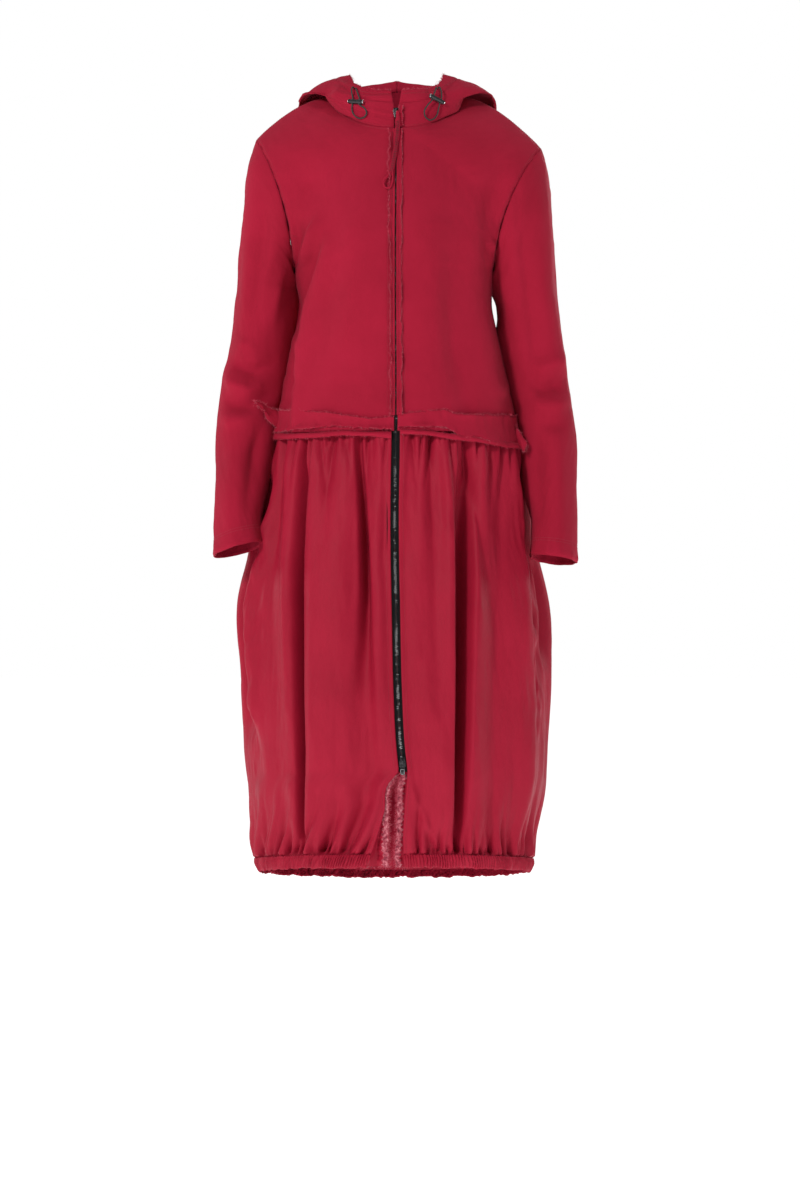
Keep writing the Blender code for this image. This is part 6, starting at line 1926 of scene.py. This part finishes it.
def build_facings():
    loose = []
    rows = 90
    for side, seed in ((RIGHT, 200), (LEFT, 210)):
        z = np.linspace(HEM_Z + 0.0005, -0.9360, rows)
        free = smooth(SLIT, "facing_" + side, z) + rag(z, seed, 0.0011)
        inner = skirt_edge(side, z) + 0.0080
        across = np.linspace(0, 1, 28)
        x = free[:, None] + (inner - free)[:, None] * across
        u = np.tile(z[:, None], (1, 28))
        wave = 0.0016 * noise(u / 0.030, x / 0.012, seed + 3) + 0.0008 * noise(u / 0.010, x / 0.006, seed + 4)
        from_free = np.abs(x - free[:, None])
        wide = (inner - free)[:, None]
        hollow = 0.012 * ease(0.006, 0.016, from_free) * ease(0.004, 0.014, wide - from_free)
        stand = -(0.0030 + GAP) + np.clip(wave, -0.0015, 0.0012) * ease(0.0, 0.35, 1 - across)[None] - hollow
        points = place(front_strip(z, x, stand), side)
        name = "slit_facing_" + side
        strip = shell(name + "_strip", points, WOVEN, LOOKS["woven"], "woven_cloth", (name,))
        strip.data.materials.append(LOOKS["lining"])
        middles = np.array([face.center.x for face in strip.data.polygons]) * SIGN[side]
        heights = np.array([face.center.z for face in strip.data.polygons])
        band = middles - np.interp(heights, z, free) < 0.0080 + 0.0012 * np.sin(heights * 900)
        strip.data.polygons.foreach_set("material_index", band.astype(np.int32))
        fray(loose, *end_of(points, 1, side == RIGHT), seed, 2600, 0.0065)
        fray(loose, *end_of(points, 0, False), seed + 1, 1800, 0.0055)
        extras = []
        if side == LEFT:
            extras = [fray_piece("facing_fray", loose, 0.00017, "woven_cloth")]
        declare(strip, "skirt_front_%s_cloth" % side)


def build_tapes():
    for side in (RIGHT, LEFT):
        name = "zip_tape_" + side
        strip = shell(name + "_strip", zip_tape(side), TAPE_CLOTH, LOOKS["tape"], "zip_tape", (name,))
        declare(strip,
                ("bodice_front_%s_cloth" % side, "skirt_front_%s_cloth" % side))


# ---------------------------------------------------------------- studio
def area_light(name, location, target, size, energy):
    data = bpy.data.lights.new(name, "AREA")
    data.shape = "DISK"
    data.size = size
    data.energy = energy
    made = bpy.data.objects.new(name, data)
    made.location = location
    made.rotation_euler = (Vector(target) - Vector(location)).to_track_quat("-Z", "Y").to_euler()
    bpy.context.scene.collection.objects.link(made)


def build_studio():
    data = bpy.data.cameras.new("camera")
    data.sensor_width = 36.0
    data.sensor_fit = "AUTO"
    data.lens = LENS
    camera = bpy.data.objects.new("camera", data)
    camera.location = CAMERA
    camera.rotation_euler = (math.pi / 2, 0, 0)
    bpy.context.scene.collection.objects.link(camera)
    bpy.context.scene.camera = camera
    turn = np.linspace(0, math.tau, 65)[:-1]
    reach = 30.0
    points = [(0.0, 0.0, FLOOR_Z)] + [(reach * math.cos(a), reach * math.sin(a), FLOOR_Z) for a in turn]
    quads = [(0, 2 * k + 1, 2 * k + 2, (2 * k + 2) % 64 + 1) for k in range(32)]
    mesh = mesh_from("floor", points, quads)
    made, tree, shader, add = new_material("pale_paper")
    grain = add("ShaderNodeTexNoise", Scale=3.0, Detail=2.0)
    tone = ramp(add, ((0.3, (0.90, 0.90, 0.90)), (0.7, (0.93, 0.93, 0.93))))
    tree.links.new(grain.outputs["Fac"], tone.inputs["Fac"])
    tree.links.new(tone.outputs["Color"], shader.inputs["Base Color"])
    shader.inputs["Roughness"].default_value = 0.9
    shader.inputs["Emission Color"].default_value = (1.0, 1.0, 1.0, 1.0)
    shader.inputs["Emission Strength"].default_value = 0.92
    mesh.materials.append(made)
    floor = bpy.data.objects.new("floor", mesh)
    bpy.context.scene.collection.objects.link(floor)
    area_light("key", (-2.3, -3.9, 1.6), (0, 0, -0.55), 0.8, 140)
    area_light("fill", (2.6, -4.0, 0.0), (0, 0, -0.60), 1.8, 10)
    area_light("top", (0.2, 0.2, 2.6), (0, 0, -0.6), 1.6, 26)
    area_light("behind", (1.6, 4.4, 1.0), (0, 0, -0.6), 1.2, 70)
    for name, x in (("rim_left", -3.2), ("rim_right", 3.2)):
        area_light(name, (x, 1.4, 0.3), (0, 0, -0.55), 1.0, 34)
    bpy.context.scene.view_settings.view_transform = "Standard"
    world = bpy.data.worlds.new("studio")
    bpy.context.scene.world = world
    world.use_nodes = True
    sky = world.node_tree.nodes["Background"]
    sky.inputs["Color"].default_value = (1.0, 1.0, 1.0, 1.0)
    seen = world.node_tree.nodes.new("ShaderNodeLightPath")
    strength = world.node_tree.nodes.new("ShaderNodeMapRange")
    strength.inputs["To Min"].default_value = 0.17
    strength.inputs["To Max"].default_value = 1.0
    world.node_tree.links.new(seen.outputs["Is Camera Ray"], strength.inputs["Value"])
    world.node_tree.links.new(strength.outputs["Result"], sky.inputs["Strength"])


def build():
    build_studio()
    for side in (RIGHT, LEFT):
        build_cord(side)
    build_bodice()
    for side in (RIGHT, LEFT):
        build_sleeve(side)
    build_hood()
    build_skirt()
    build_bands()
    build_placket()
    collar_strip()
    build_facings()
    build_tapes()
    build_teeth()
    build_hardware()
    build_pull()


build()
